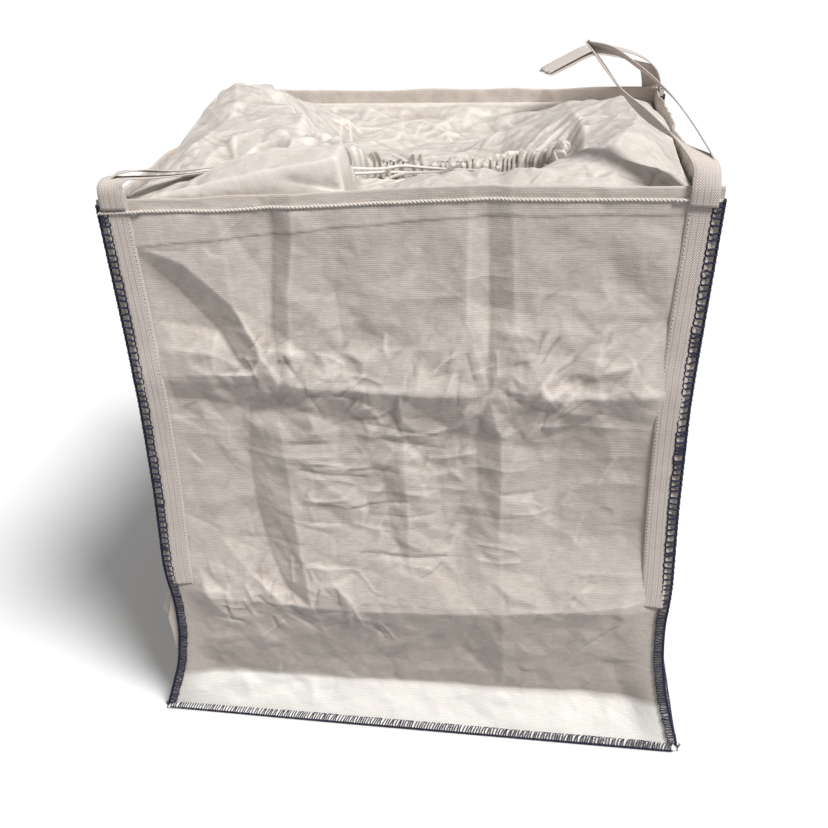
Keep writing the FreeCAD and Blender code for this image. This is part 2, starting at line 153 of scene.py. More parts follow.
def facet_map(points, lines, box, blur):
    """Height map of flat facets between points (x, y, height), creased along lines of those points."""
    flat = np.array(points)
    found = delaunay_2d_cdt([Vector(p) for p in flat[:, :2]], lines, [], 0, 1e-6)
    verts, faces, origin = np.array([v[:] for v in found[0]]), found[2], found[3]
    known = flat[:, 2]
    heights = np.array([known[o[0]] if o else np.nan for o in origin])
    for k in np.nonzero(np.isnan(heights))[0]:
        gap = np.hypot(*(flat[:, :2] - verts[k]).T) + 1e-6
        near = np.argsort(gap)[:3]
        heights[k] = np.sum(known[near] / gap[near]) / np.sum(1 / gap[near])
    start = np.array((box[0], box[2]))
    count = ((np.array((box[1], box[3])) - start) / STEP).astype(int) + 1
    grid = np.zeros(count[::-1])
    for ids in faces:
        (ax, ay), (bx, by), (cx, cy) = corners = verts[list(ids)]
        low = np.maximum(0, ((corners.min(0) - start) / STEP).astype(int))
        high = np.minimum(count, ((corners.max(0) - start) / STEP).astype(int) + 2)
        area = (by - cy) * (ax - cx) + (cx - bx) * (ay - cy)
        if (high <= low).any() or abs(area) < 1e-12:
            continue
        gx, gy = np.meshgrid(*(start[k] + STEP * np.arange(low[k], high[k]) for k in (0, 1)))
        u = ((by - cy) * (gx - cx) + (cx - bx) * (gy - cy)) / area
        v = ((cy - ay) * (gx - cx) + (ax - cx) * (gy - cy)) / area
        shares = np.stack([u, v, 1 - u - v], -1)
        inside = (shares >= -1e-6).all(-1)
        grid[low[1]:high[1], low[0]:high[0]][inside] = (shares @ heights[list(ids)])[inside]
    for _ in range(blur):
        pad = np.pad(grid, 1, mode="edge")
        grid = (pad[1:-1, 1:-1] * 2 + pad[2:, 1:-1] + pad[:-2, 1:-1] + pad[1:-1, 2:] + pad[1:-1, :-2]) / 6
    return grid, start


def sample(field, x, y):
    """Bilinear value of a height map."""
    grid, start = field
    gx = np.clip((x - start[0]) / STEP, 0, grid.shape[1] - 1.001)
    gy = np.clip((y - start[1]) / STEP, 0, grid.shape[0] - 1.001)
    ix, iy = gx.astype(int), gy.astype(int)
    fx, fy = gx - ix, gy - iy
    return ((grid[iy, ix] * (1 - fx) + grid[iy, ix + 1] * fx) * (1 - fy)
            + (grid[iy + 1, ix] * (1 - fx) + grid[iy + 1, ix + 1] * fx) * fy)


def crumple(area, box, spacing, seed, sigma, blur):
    """Height map of facets between jittered points over area, with random heights."""
    rng = np.random.default_rng(seed)
    xs, ys = np.meshgrid(np.arange(area[0], area[1], spacing), np.arange(area[2], area[3], spacing))
    xs = xs.ravel() + rng.uniform(-0.42, 0.42, xs.size) * spacing
    ys = ys.ravel() + rng.uniform(-0.42, 0.42, ys.size) * spacing
    return facet_map(np.column_stack([xs, ys, rng.normal(0, sigma, xs.size)]), [], box, blur)


def averaged(values):
    """Moving average over five values."""
    return np.convolve(np.pad(values, 2, mode="edge"), np.ones(5) / 5, mode="valid")


# ---- bag shape
PROFILE_Z = np.array([0.0, 0.05, 0.11, 0.19, 0.26, 0.33, 0.48, 0.68, 0.85, 1.0])
PROFILE_LEFT = np.array([0.476, 0.458, 0.438, 0.425, 0.424, 0.434, 0.431, 0.433, 0.445, 0.455])
PROFILE_RIGHT = np.array([0.470, 0.456, 0.441, 0.430, 0.428, 0.434, 0.432, 0.434, 0.446, 0.456])
RIM_AT = np.array([-0.46, -0.20, -0.08, 0.03, 0.46])
RIM_LIFT = np.array([-0.021, -0.012, -0.004, 0.003, 0.006])
STITCH_AT = np.array([-0.46, -0.25, -0.14, 0.03, 0.145, 0.46])
STITCH_Z = np.array([0.9600, 0.9660, 0.9710, 0.9800, 0.9840, 0.9840])
RAW_Z = np.array([0.9050, 0.9240, 0.9360, 0.9530, 0.9600, 0.9630])


def fin_x(z, sx=1):
    """Half width of the bag at the tip of its corner fins."""
    fine = np.linspace(0, 1.05, 106)
    values = np.interp(fine, PROFILE_Z, PROFILE_LEFT if sx < 0 else PROFILE_RIGHT)
    return np.interp(z, fine, averaged(values))


def edge_out(z, sx=1, sy=-1):
    """How far the corner seams stand out in front of (or behind) their straight line."""
    flare = 0.010 * np.clip((0.095 - z) / 0.095, 0, 1) ** 1.2
    if sx < 0 and sy < 0:
        flare = -0.018 * np.clip((0.33 - z) / 0.33, 0, 1) ** 1.5
    bumps = 0.005 * np.exp(-np.abs(z - 0.69) / 0.05) + 0.004 * np.exp(-np.abs(z - 0.29) / 0.05)
    return flare + bumps - 0.002


def edge_between(x, z, sy):
    """edge_out blended across the width of a panel."""
    share = np.clip(x / 0.9 + 0.5, 0, 1)
    return edge_out(z, -1, sy) * (1 - share) + edge_out(z, 1, sy) * share


PANEL_BOX, PANEL_AREA = (-0.48, 0.48, -0.01, 1.04), (-0.5, 0.5, -0.03, 1.06)


def chains(points, lines):
    """Point list and edges from named polylines that may share points."""
    index, flat, edges = {}, [], []
    for point in points:
        index[point[:2]] = len(flat)
        flat.append(point)
    for line in lines:
        for point in line:
            if point[:2] not in index:
                index[point[:2]] = len(flat)
                flat.append(point)
        ids = [index[p[:2]] for p in line]
        edges += list(zip(ids[:-1], ids[1:]))
    return [(x, z, h * MM) for x, z, h in flat], edges


def front_facets():
    """Large folds of the front panel: x, z and outward height in millimetres."""
    fold_a = [(-.46, .69, 2), (-.39, .7, 5), (-.3, .705, 5), (-.236, .708, 6), (-.19, .7, 9),
        (-.165, .691, 13), (-.1, .686, 12), (-.007, .683, 13), (.071, .682, 12), (.133, .679, 8),
        (.222, .681, 15), (.3, .684, 12), (.382, .686, 11), (.46, .688, 3)]
    fold_b = [(-.46, .285, 3), (-.402, .283, 10), (-.3, .275, 10), (-.22, .272, 8), (-.17, .27, 14),
        (-.03, .272, 16), (.119, .279, 15), (.157, .281, 17), (.25, .29, 15), (.402, .311, 11),
        (.46, .31, 3)]
    fold_c = [(-.187, 1.03, -3), (-.19, .93, -5), (-.198, .85, -6), (-.203, .78, -4), (-.19, .7, 9)]
    rise_c = [(-.155, 1.03, 3), (-.16, .92, 4), (-.172, .84, 4), (-.176, .76, 5), (-.165, .691, 13)]
    fold_d = [(.13, 1.03, -2), (.131, .92, -5), (.133, .8, -6), (.133, .679, 8)]
    left_d = [(.103, 1.03, 2), (.101, .92, 2), (.098, .8, 3), (.071, .682, 12)]
    right_d = [(.16, 1.03, 2), (.166, .92, 3), (.17, .8, 4), (.222, .681, 15)]
    band_high = [(-.42, .915, 3), (-.33, .885, 6), (-.26, .82, 7), (-.215, .74, 5)]
    band_low = [(-.43, .87, -3), (-.35, .845, -7), (-.29, .775, -8), (-.25, .708, -3)]
    step_left = [(-.252, .64, -7), (-.262, .55, -9), (-.258, .45, -10), (-.24, .36, -9), (-.215, .3, -2)]
    step_right = [(-.205, .64, 3), (-.198, .55, 5), (-.192, .45, 6), (-.183, .36, 7), (-.17, .27, 14)]
    low = [(-.46, .08, -8), (-.33, .083, -14), (-.165, .084, -16), (-.06, .086, -15), (.05, .087, -16),
        (.157, .09, -12), (.3, .092, -16), (.46, .094, -8)]
    pleat = [(.157, .281, 17), (.16, .18, 5), (.157, .09, -6)]
    star_1 = [(.222, .681, 15), (.262, .745, 6), (.305, .8, 2)]
    star_2 = [(.222, .681, 15), (.29, .722, 13), (.345, .735, 8)]
    star_3 = [(.222, .681, 15), (.203, .76, 7), (.204, .86, 3)]
    star_4 = [(.222, .681, 15), (.3, .655, 4), (.36, .64, 2)]
    knot_1 = [(-.165, .691, 13), (-.14, .74, 6), (-.128, .8, 4)]
    knot_2 = [(-.19, .7, 9), (-.222, .735, 8), (-.235, .775, 8)]
    knot_3 = [(-.165, .691, 13), (-.145, .645, 8), (-.15, .6, 4)]
    centre = [(-.007, .683, 13), (-.004, .6, 3), (-.002, .52, 2), (0, .43, 1), (.002, .345, 6)]
    low_d = [(.133, .679, 8), (.152, .6, 5), (.154, .52, 4), (.151, .43, 3), (.153, .36, 6),
        (.157, .281, 17)]
    left_low_d = [(.112, .6, -5), (.116, .51, -6), (.095, .42, -5), (.08, .355, 2)]
    corner_d = [(.08, .355, 2), (.157, .281, 17)]
    second = [(-.44, .742, 2), (-.36, .745, 4), (-.3, .738, 5), (-.25, .708, -3)]
    loose = [(-.46, 1.03, 0), (-.3, 1.03, 2), (-.36, .97, -1), (-.27, .965, 2), (-.1, 1.03, 1),
        (-.03, 1.03, -1), (.03, 1.03, 1), (.25, 1.03, 2), (.32, 1.03, -1), (.46, 1.03, 0), (-.46, .93, 0),
        (-.09, .93, 0), (-.03, .93, 2), (.03, .92, 0), (.24, .93, 1), (.3, .9, -1), (.38, .92, 1),
        (.46, .9, 0), (-.1, .84, -2), (-.01, .83, 2), (.05, .83, -1), (-.46, .8, 0), (-.38, .79, -7),
        (.25, .85, 0), (.34, .84, -3), (.4, .8, 1), (.46, .8, 0), (-.09, .755, 2), (.02, .76, 1),
        (.4, .735, 3), (-.42, .66, -3), (-.33, .655, -6), (-.1, .625, 0), (-.02, .64, 0), (.06, .62, -2),
        (.19, .6, 3), (.25, .62, -3), (.42, .62, 1), (-.44, .55, -3), (-.36, .53, -5), (-.31, .52, -7),
        (-.12, .54, 3), (-.04, .53, -3), (.05, .54, -6), (.24, .53, -7), (.34, .54, -6), (.46, .55, 0),
        (-.42, .42, -2), (-.33, .4, -3), (-.31, .44, -6), (-.13, .44, 2), (-.03, .43, -4), (.06, .44, -6),
        (.25, .42, -6), (.35, .43, -5), (.46, .43, 0), (-.36, .33, 3), (-.28, .33, 2), (-.11, .35, 6),
        (.22, .35, 4), (.33, .37, 3), (.42, .36, 3), (-.46, .17, -1), (-.4, .21, 0), (-.34, .18, 1),
        (-.25, .19, -1), (-.155, .2, 2), (-.08, .18, -3), (.02, .17, -4), (.09, .19, -2), (.24, .18, -2),
        (.34, .18, -4), (.42, .2, 0), (.46, .17, 0), (-.46, 0, 0), (-.33, 0, 0), (-.2, 0, 0), (-.06, 0, 0),
        (.05, 0, 0), (.157, 0, 0), (.3, 0, 0), (.46, 0, 0)]
    lines = [fold_a, fold_b, fold_c, rise_c, fold_d, left_d, right_d, band_high, band_low, step_left,
        step_right, low, pleat, star_1, star_2, star_3, star_4, knot_1, knot_2, knot_3, second, centre,
        low_d, left_low_d, corner_d]
    points, edges = chains(loose, lines)
    return facet_map([(x, z, 1.35 * h) for x, z, h in points], edges, PANEL_BOX, 0)


FRONT_MAP = front_facets()
SMALL_MAP = crumple(PANEL_AREA, PANEL_BOX, 0.045, 3, 0.0020, 1)
TINY_MAP = crumple(PANEL_AREA, PANEL_BOX, 0.020, 4, 0.0010, 0)
FRONT_CREASES = (  # seed, count, area, length, angle, its spread, height, width
    (11, 44, (-0.18, 0.20, 0.34, 0.62), 0.09, 0.0, 0.22, 0.0026, 0.0045),
    (31, 60, (-0.27, 0.27, 0.63, 0.77), 0.040, 0.9, 1.3, 0.0024, 0.0036),
    (32, 40, (-0.33, -0.03, 0.22, 0.34), 0.040, -1.0, 0.8, 0.0024, 0.0036),
    (33, 26, (-0.42, 0.42, 0.20, 0.95), 0.060, 0.6, 1.5, 0.0014, 0.0034),
    (15, 30, (-0.40, 0.40, 0.30, 0.66), 0.20, 0.0, 0.07, 0.0015, 0.008),
    (16, 14, (-0.10, 0.35, 0.74, 0.92), 0.10, 0.0, 0.10, 0.0012, 0.006))


def front_relief(x, z):
    """Outward relief of the front panel, in metres."""
    near_star, near_knot = np.exp(-((x - 0.23) / 0.09) ** 2), np.exp(-((x + 0.19) / 0.09) ** 2)
    crowd = np.exp(-((z - 0.70) / 0.07) ** 2) * (0.5 + near_knot + near_star)
    crowd += 0.7 * np.exp(-((z - 0.30) / 0.05) ** 2) * smooth(0.0, -0.15, x)
    crowd += 0.8 * np.exp(-((x + 0.02) / 0.17) ** 2 - ((z - 0.50) / 0.14) ** 2)
    quiet = (0.75 + 1.4 * np.clip(crowd, 0, 1.4)) * smooth(0.0, 0.05, z)
    d = sample(FRONT_MAP, x, z) + quiet * (sample(SMALL_MAP, x, z) + 0.75 * sample(TINY_MAP, x, z))
    for row in FRONT_CREASES:
        d += random_creases(x, z, *row)
    d += 0.0010 * folds(x, z, 21, 6, 0.12, 1.0)
    raw = np.interp(x, STITCH_AT, RAW_Z) + 0.0015 * noise(x, z * 0, 0.05, 5)
    hem = smooth(raw - 0.001, raw + 0.001, z)
    dent = 0.0008 * np.exp(-((z - np.interp(x, STITCH_AT, STITCH_Z)) / 0.004) ** 2)
    return d * (1 - 0.45 * smooth(0.93, 0.99, z)) + 0.0014 * hem - dent


def wall_facets(seed):
    """Storage folds and crumple of a back or side panel."""
    rng = np.random.default_rng(seed)
    xs = (-0.48, -0.36, -0.22, -0.10, 0.0, 0.12, 0.21, 0.35, 0.48)
    rows = ((1.03, 0, 2), (0.92, 0, 3), (0.80, -2, 4), (0.69, 12, 3), (0.58, -2, 5), (0.47, -7, 5),
            (0.36, 0, 4), (0.285, 13, 3), (0.18, -1, 4), (0.09, -9, 3), (0.0, 3, 2))
    points, edges = [], []
    for z, mean, spread in rows:
        start = len(points)
        for x in xs:
            edge = 0.3 if abs(x) > 0.45 else 1.0
            points.append((x + rng.uniform(-0.02, 0.02), z + rng.uniform(-0.006, 0.006),
                           (mean + rng.uniform(-spread, spread)) * edge * MM))
        if mean in (12, 13, -9):
            edges += [(start + k, start + k + 1) for k in range(len(xs) - 1)]
    return facet_map(points, edges, PANEL_BOX, 2)


WALL_MAPS = {seed: wall_facets(seed) for seed in (40, 60, 80)}


def other_relief(x, z, seed, gusset):
    """Outward relief of the back and side panels, in metres."""
    d = 1.8 * sample(WALL_MAPS[seed], x, z) - gusset * np.exp(-np.abs(x) / 0.13)
    d += 2.0 * sample(SMALL_MAP, -x, 1.0 - z) + 1.3 * sample(TINY_MAP, -x, 1.0 - z)
    d += 0.0010 * folds(x, z, seed + 4, 6, 0.12, 1.0)
    return d * (1 - 0.45 * smooth(0.93, 0.99, z)) + 0.0013 * smooth(0.9235, 0.9255, z)


def rim_lift(x, y):
    """How far the top edge stands above or sags below its usual height."""
    front = np.interp(x, RIM_AT, RIM_LIFT) * smooth(0.10, -0.44, y)
    return front + 0.003 * noise(x + 0.7 * y, x - y, 0.12, 7) - 0.001


def end_point(x, z, side):
    """Point on the outer face of the front (-1) or back (+1) panel."""
    relief = front_relief(x, z) if side < 0 else other_relief(x, z, 40, 0.0)
    seam = np.where(x < 0, fin_x(z, -1), fin_x(z, 1)) - FIN
    fade = smooth(0.0, 0.06, seam - np.abs(x))
    y = side * (FRONT_Y + edge_between(x, z, side) + fade * relief)
    return np.stack([x, y, z], -1)


def side_reach(z, sx, sy):
    """How far a side panel reaches towards the front or back at height z."""
    return FRONT_Y + edge_out(z, sx, sy) - 0.002


def side_point(y, z, side):
    """Point on the outer face of the left (-1) or right (+1) panel."""
    relief = other_relief(y, z, 60 if side < 0 else 80, 0.012)
    reach = np.where(y < 0, side_reach(z, side, -1), side_reach(z, side, 1))
    fade = smooth(0.0, 0.08, reach - np.abs(y))
    bulge = 0.0 if side > 0 else 0.056
    bulge = bulge * np.clip(1 - np.abs(z - 0.215) / 0.095, 0, 1) * np.exp(-((y + 0.41) / 0.032) ** 2)
    x = side * (fin_x(z, side) - FIN + fade * relief + bulge)
    return np.stack([x, y, z], -1)


# ---- meshes
def make_object(name, stands_for, verts, faces, material, coords=None, fold=None, body="bag",
                slot="woven_fabric"):
    """A smooth mesh piece that replaces the nodes in stands_for; coords and fold are read by the shaders."""
    mesh = bpy.data.meshes.new(name)
    faces = faces.tolist() if hasattr(faces, "tolist") else faces
    mesh.from_pydata(np.asarray(verts, float).reshape(-1, 3).tolist(), [], faces)
    mesh.update()
    for attribute, kind, key, values in (("wv", "FLOAT_VECTOR", "vector", coords),
                                         ("fold", "FLOAT", "value", fold)):
        if values is not None:
            layer = mesh.attributes.new(attribute, kind, "POINT")
            layer.data.foreach_set(key, np.asarray(values, np.float32).ravel())
    mesh.polygons.foreach_set("use_smooth", [True] * len(mesh.polygons))
    obj = bpy.data.objects.new(name, mesh)
    bpy.context.scene.collection.objects.link(obj)
    mesh.materials.append(material)
    if body:
        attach(obj, body)
    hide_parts(*stands_for)
    return obj


def grid_faces(rows, columns, closed=False, flip=False):
    """Quads of a rows by columns grid of points; closed joins the last column to the first."""
    last = columns if closed else columns - 1
    r, c = np.meshgrid(np.arange(rows - 1), np.arange(last), indexing="ij")
    r, c = r.ravel(), c.ravel()
    n = (c + 1) % columns
    quads = np.stack([r * columns + c, r * columns + n, (r + 1) * columns + n, (r + 1) * columns + c], -1)
    return quads[:, ::-1] if flip else quads


def bend_map(height):
    """Signed curvature of a height grid, positive on crests, for the painted highlight on crests and painted
    shade in hollows.
    """
    out = np.zeros_like(height)
    for reach in (1, 3):
        pad = np.pad(height, reach, mode="edge")
        mid = pad[reach:-reach, reach:-reach]
        around = (pad[2 * reach:, reach:-reach] + pad[:-2 * reach, reach:-reach]
                  + pad[reach:-reach, 2 * reach:] + pad[reach:-reach, :-2 * reach]) / 4
        out += (mid - around) / (0.0003 * reach)
    return np.clip(out / 2, -1.0, 1.0)


def wall_heights(rows):
    """Heights of a wall's rows of points, from just over the floor to the rim."""
    return np.linspace(0.006, TOP - 0.002, rows)


def hemmed(wall, side, axis, moved, foot_out, foot_z, depth):
    """Rows of a panel and their run lengths: base fin, wall, over the rim and depth rows down inside.

    The columns in moved step inwards along axis; the others are the panel's corner flanges.
    """
    rows, runs, heights = [], [], wall_heights(len(wall))

    def add(row, shift, height, run):
        row = row.copy()
        row[moved, axis] += side * shift
        row[:, 2] = height
        rows.append(row)
        runs.append(run)

    for k in range(FOOT_ROWS):
        add(wall[0], foot_out * (1 - k / FOOT_ROWS), foot_z, -0.012 + 0.002 * k)
    for row, z in zip(wall, heights):
        add(row, 0.0, row[:, 2], z)
    for k, (inward, up) in enumerate(RIM_TURN):
        add(wall[-1], -inward, wall[-1][:, 2] + up, TOP + 0.001 * k)
    last = len(wall) - 2
    for k in range(last, last - depth, -3):
        add(wall[k], -HEM_THICK, wall[k][:, 2], TOP + 0.001 * len(RIM_TURN) + TOP - heights[k])
    return np.array(rows), np.array(runs)


def add_panel(name, panel, rows, runs, fold, half_width, flip, material):
    """The piece for one panel from its rows; height is that of the fabric cut flat."""
    total, columns = rows.shape[:2]
    fold = np.pad(fold, ((FOOT_ROWS, total - FOOT_ROWS - len(fold)), (0, 0)))
    across, run = np.meshgrid(np.linspace(-half_width, half_width, columns), runs)
    coords = np.stack([across, run, 0 * run], -1)
    obj = make_object(name, [panel], rows, grid_faces(total, columns, flip=flip), material, coords, fold)


def end_sheet(side, material):
    """Front or back panel: base fin, wall, folded top hem, in one sheet."""
    columns, rows = 341, 372
    zz, ss = np.meshgrid(wall_heights(rows), np.linspace(-1, 1, columns), indexing="ij")
    xx = ss * np.where(ss < 0, fin_x(zz, -1), fin_x(zz, 1))
    wall = end_point(xx, zz, side)
    wall[..., 2] += rim_lift(xx, wall[..., 1]) * smooth(0.955, 1.0, zz)
    sheet, runs = hemmed(wall, side, 1, slice(None), foot_out=0.0105, foot_z=0.0034, depth=24)
    for row, k in zip(sheet[rows + FOOT_ROWS + len(RIM_TURN):], range(rows - 2, 0, -3)):
        row[:, 0] = np.clip(row[:, 0], -(fin_x(zz[k], -1) - FIN - 0.003), fin_x(zz[k], 1) - FIN - 0.003)
    name = "front" if side < 0 else "back"
    fold = bend_map(np.abs(wall[..., 1]))
    add_panel(name + "_fabric", name + "_panel", sheet, runs, fold, 0.45, side > 0, material)


def side_sheet(side, material):
    """Left or right panel with its flanges behind the corner fins."""
    columns, rows = 221, 262
    zz, ss = np.meshgrid(wall_heights(rows), np.linspace(-1, 1, columns), indexing="ij")
    yy = ss * np.where(ss < 0, side_reach(zz, side, -1), side_reach(zz, side, 1))
    wall = side_point(yy, zz, side)
    wall[..., 2] += rim_lift(wall[..., 0], yy) * smooth(0.955, 1.0, zz)
    fold = np.pad(bend_map(np.abs(wall[..., 0])), ((0, 0), (4, 4)))
    wall = np.pad(wall, ((0, 0), (4, 4), (0, 0)), mode="edge")
    for k in range(4):
        wall[:, (k, -1 - k), 0] += side * (0.0165 - 0.0045 * k)
    sheet, runs = hemmed(wall, side, 0, slice(4, -4), foot_out=0.0115, foot_z=0.0032, depth=20)
    inside = sheet[rows + FOOT_ROWS + len(RIM_TURN):]
    inside[:, :4, 0], inside[:, -4:, 0] = inside[:, 4:5, 0], inside[:, -5:-4, 0]
    name = "left" if side < 0 else "right"
    add_panel(name + "_fabric", name + "_panel", sheet, runs, fold, 0.46, side < 0, material)


def base_sheet(material):
    """Base fabric on the floor, with faint fold lines."""
    n = 121
    x, y = np.meshgrid(np.linspace(-1, 1, n), np.linspace(-1, 1, n), indexing="xy")
    px = x * np.where(x < 0, fin_x(0.0, -1), fin_x(0.0, 1)) * 0.998
    py = y * (FRONT_Y + 0.0102 + np.where(y < 0, edge_between(px, 0 * px, -1), edge_between(px, 0 * px, 1)))
    inside = smooth(1.0, 0.93, np.maximum(abs(x), abs(y)))
    up = 0.0008 + 0.0010 * (0.5 + 0.5 * noise(px, py, 0.08, 91)) * inside
    for fold in ([(-0.46, 0.0), (0.46, 0.0)], [(0.0, -0.46), (0.0, 0.46)]):
        up += np.abs(crease(px, py, fold, 0.0010, 0.02))
    points, coords = np.stack([px, py, np.minimum(up, 0.0028)], -1), np.stack([px, py, 0 * px], -1)
    obj = make_object("base_fabric", ["base_panel"], points, grid_faces(n, n), material, coords,
                      np.zeros(n * n))


# ---- tubes and ribbons
def spline(points, spacing):
    """Catmull-Rom samples through control points, about spacing apart."""
    p = np.asarray(points, float)
    ends = np.vstack([2 * p[0] - p[1], p, 2 * p[-1] - p[-2]])
    out = []
    for a, b, c, d in zip(ends[:-3], ends[1:-2], ends[2:-1], ends[3:]):
        count = max(2, int(np.linalg.norm((c - b)[:3]) / spacing))
        t = np.linspace(0, 1, count, endpoint=False)[:, None]
        out.append(0.5 * ((2 * b) + (c - a) * t + (2 * a - 5 * b + 4 * c - d) * t ** 2
                          + (3 * b - a - 3 * c + d) * t ** 3))
    return np.vstack(out + [p[-1:]])


def unit(vectors):
    """Vectors along the last axis, scaled to length 1."""
    return vectors / (np.linalg.norm(vectors, axis=-1, keepdims=True) + 1e-12)


def run_length(line):
    """Length along a line up to each of its points."""
    return np.concatenate([[0], np.cumsum(np.linalg.norm(np.diff(line, axis=0), axis=1))])


def capped(rings, sides):
    """Quads of a closed skin over rings of points, with a polygon at each end."""
    first = (rings - 1) * sides
    return grid_faces(rings, sides, closed=True).tolist() + [list(range(sides))[::-1],
                                                             list(range(first, first + sides))]


def tube(line, radius, sides=6):
    """Points and faces of a round tube along a line, with closed ends."""
    line = np.asarray(line, float)
    tangent = unit(np.gradient(line, axis=0))
    normal = np.cross(tangent[0], (0.31, 0.52, 0.79))
    a = np.arange(sides)[:, None] * 2 * math.pi / sides
    rings = []
    for point, t, r in zip(line, tangent, np.broadcast_to(radius, len(line))):
        normal = unit(normal - t * (normal @ t))
        rings.append(point + r * (np.cos(a) * normal + np.sin(a) * np.cross(t, normal)))
    return np.concatenate(rings), capped(len(line), sides)


def joined_mesh(parts):
    """One list of points and faces from many."""
    verts, faces, base = [], [], 0
    for v, f in parts:
        verts.append(v)
        faces += [[i + base for i in face] for face in f]
        base += len(v)
    return np.vstack(verts), faces


def ribbon(line, across, width, thick):
    """Points, faces and cloth coordinates of a flat strap along a line."""
    line, across = np.asarray(line, float), np.asarray(across, float)
    tangent = unit(np.gradient(line, axis=0))
    across = unit(across - tangent * np.sum(across * tangent, 1)[:, None])
    normal = np.cross(tangent, across)
    run = run_length(line)
    edge = [(-0.5, 0.0), (-0.485, 0.42), (-0.30, 0.5), (0.0, 0.5), (0.30, 0.5), (0.485, 0.42)]
    shape = np.array(edge + [(-a, -b) for a, b in edge]) * (width, thick)
    verts = np.stack([line + a * across + b * normal for a, b in shape], 1)
    coords = np.stack([np.stack([a + 0 * run, run, b + 0 * run], -1) for a, b in shape], 1)
    return verts, capped(len(line), len(shape)), coords


# ---- materials
class Wiring:
    """The shader nodes of a material or world, with short ways to make and link them."""

    def __init__(self, owner):
        owner.use_nodes = True
        self.owner, self.tree = owner, owner.node_tree

    def put(self, socket, value):
        if isinstance(value, bpy.types.NodeSocket):
            self.tree.links.new(value, socket)
        else:
            socket.default_value = value

    def fill(self, target, sockets):
        for key, value in dict(sockets).items():
            self.put(target.inputs[key], value)
        return target

    def node(self, kind, sockets=(), **values):
        made = self.tree.nodes.new(kind)
        for key, value in values.items():
            setattr(made, key, value)
        return self.fill(made, sockets)

    def math(self, operation, *values, clamp=False):
        made = self.node("ShaderNodeMath", enumerate(values), operation=operation, use_clamp=clamp)
        return made.outputs[0]

    def total(self, *terms, start=0.0, clamp=False):
        """start plus value times weight for each term, held within 0 to 1 if clamp is set."""
        for k, (value, weight) in enumerate(terms):
            start = self.math("MULTIPLY_ADD", value, weight, start, clamp=clamp and k == len(terms) - 1)
        return start

    def wave(self, value, period):
        return self.math("SINE", self.math("MULTIPLY", value, 2 * math.pi / period))

    def noise(self, vector, scale, detail=4.0, rough=0.5, stretch=None):
        if stretch:
            scaled = self.node("ShaderNodeVectorMath", {0: vector, 1: stretch}, operation="MULTIPLY")
            vector = scaled.outputs[0]
        sockets = {"Vector": vector, "Scale": scale, "Detail": detail, "Roughness": rough}
        return self.node("ShaderNodeTexNoise", sockets).outputs["Fac"]

    def mix(self, factor, a, b):
        return self.node("ShaderNodeMix", {0: factor, 6: a, 7: b}, data_type="RGBA").outputs[2]

    def split(self, vector):
        return tuple(self.node("ShaderNodeSeparateXYZ", {0: vector}).outputs)

    def finish(self, height, sockets, strength=1.0):
        """Bump from height, and the other inputs of the surface shader."""
        bump = self.node("ShaderNodeBump", {"Height": height, "Strength": strength, "Distance": 1.0})
        self.fill(self.tree.nodes["Principled BSDF"], {"Normal": bump.outputs[0], **sockets})
        return self.owner


def linear(*srgb):
    """sRGB 0-255 to a linear colour."""
    shares = [value / 255.0 for value in srgb]
    return (*(s / 12.92 if s <= 0.04045 else ((s + 0.055) / 1.055) ** 2.4 for s in shares), 1.0)


def woven_material(name, light, dark, tape_x=0.0028, tape_y=0.0031, rough=0.46, weave=1.0, crease_highlight_and_shade=0.35,
                   foot=0.0):
    """Flat-tape woven fabric with a thin laminate: ribs, tape streaks, painted highlight on crease crests,
    painted shade in crease hollows and painted light on the foot.
    """
    paint = Wiring(bpy.data.materials.new(name))
    cloth = paint.node("ShaderNodeAttribute", attribute_name="wv").outputs["Vector"]
    fold = paint.node("ShaderNodeAttribute", attribute_name="fold").outputs["Fac"]
    u, v, _ = paint.split(cloth)
    over = paint.math("MULTIPLY", paint.wave(u, 2 * tape_x), paint.wave(v, 2 * tape_y))
    ribs = paint.total((paint.wave(v, tape_y), 0.6), (paint.wave(u, tape_x), 0.3), (over, 0.5))
    streak_y = paint.noise(cloth, 1.0, 2.0, stretch=(55.0, 340.0, 1.0))
    streak_x = paint.noise(cloth, 1.0, 2.0, stretch=(360.0, 8.0, 1.0))
    cloud, speck = paint.noise(cloth, 7.0, 6.0, 0.6), paint.noise(cloth, 90.0, 5.0, 0.65)
    tone = paint.total((cloud, 0.9), (streak_y, 0.75), (streak_x, 0.25), (speck, 0.35), start=-0.62,
                       clamp=True)
    colour = paint.mix(tone, dark, light)
    # painted highlight: crests of the crumple (fold above 0) are lightened towards near-white
    colour = paint.mix(paint.math("MULTIPLY", fold, crease_highlight_and_shade, clamp=True), colour, linear(247, 243, 238))
    # painted shade: hollows of the crumple (fold below 0) are darkened towards brown-grey
    colour = paint.mix(paint.math("MULTIPLY", fold, -1.1 * crease_highlight_and_shade, clamp=True), colour, linear(118, 106, 98))
    # painted light: the foot and the lowest 90 mm of the wall are lightened towards near-white, as if lit by
    # the light that falls on the flared foot and bounces off the floor
    if foot:
        low = paint.math("MULTIPLY_ADD", v, -60.0, 5.6, clamp=True)
        colour = paint.mix(paint.math("MULTIPLY", low, foot), colour, linear(252, 249, 242))
    small = paint.noise(cloth, 55.0, 6.0, 0.6)
    height = paint.total((ribs, 0.00010 * weave), (small, 0.0011), (streak_y, 0.00035 * weave))
    gloss = paint.total((speck, 0.22), start=rough - 0.10)
    return paint.finish(height, {"Base Color": colour, "Roughness": gloss, "Specular IOR Level": 0.42,
                                 "Sheen Weight": 0.12, "Sheen Roughness": 0.5}, 0.9)


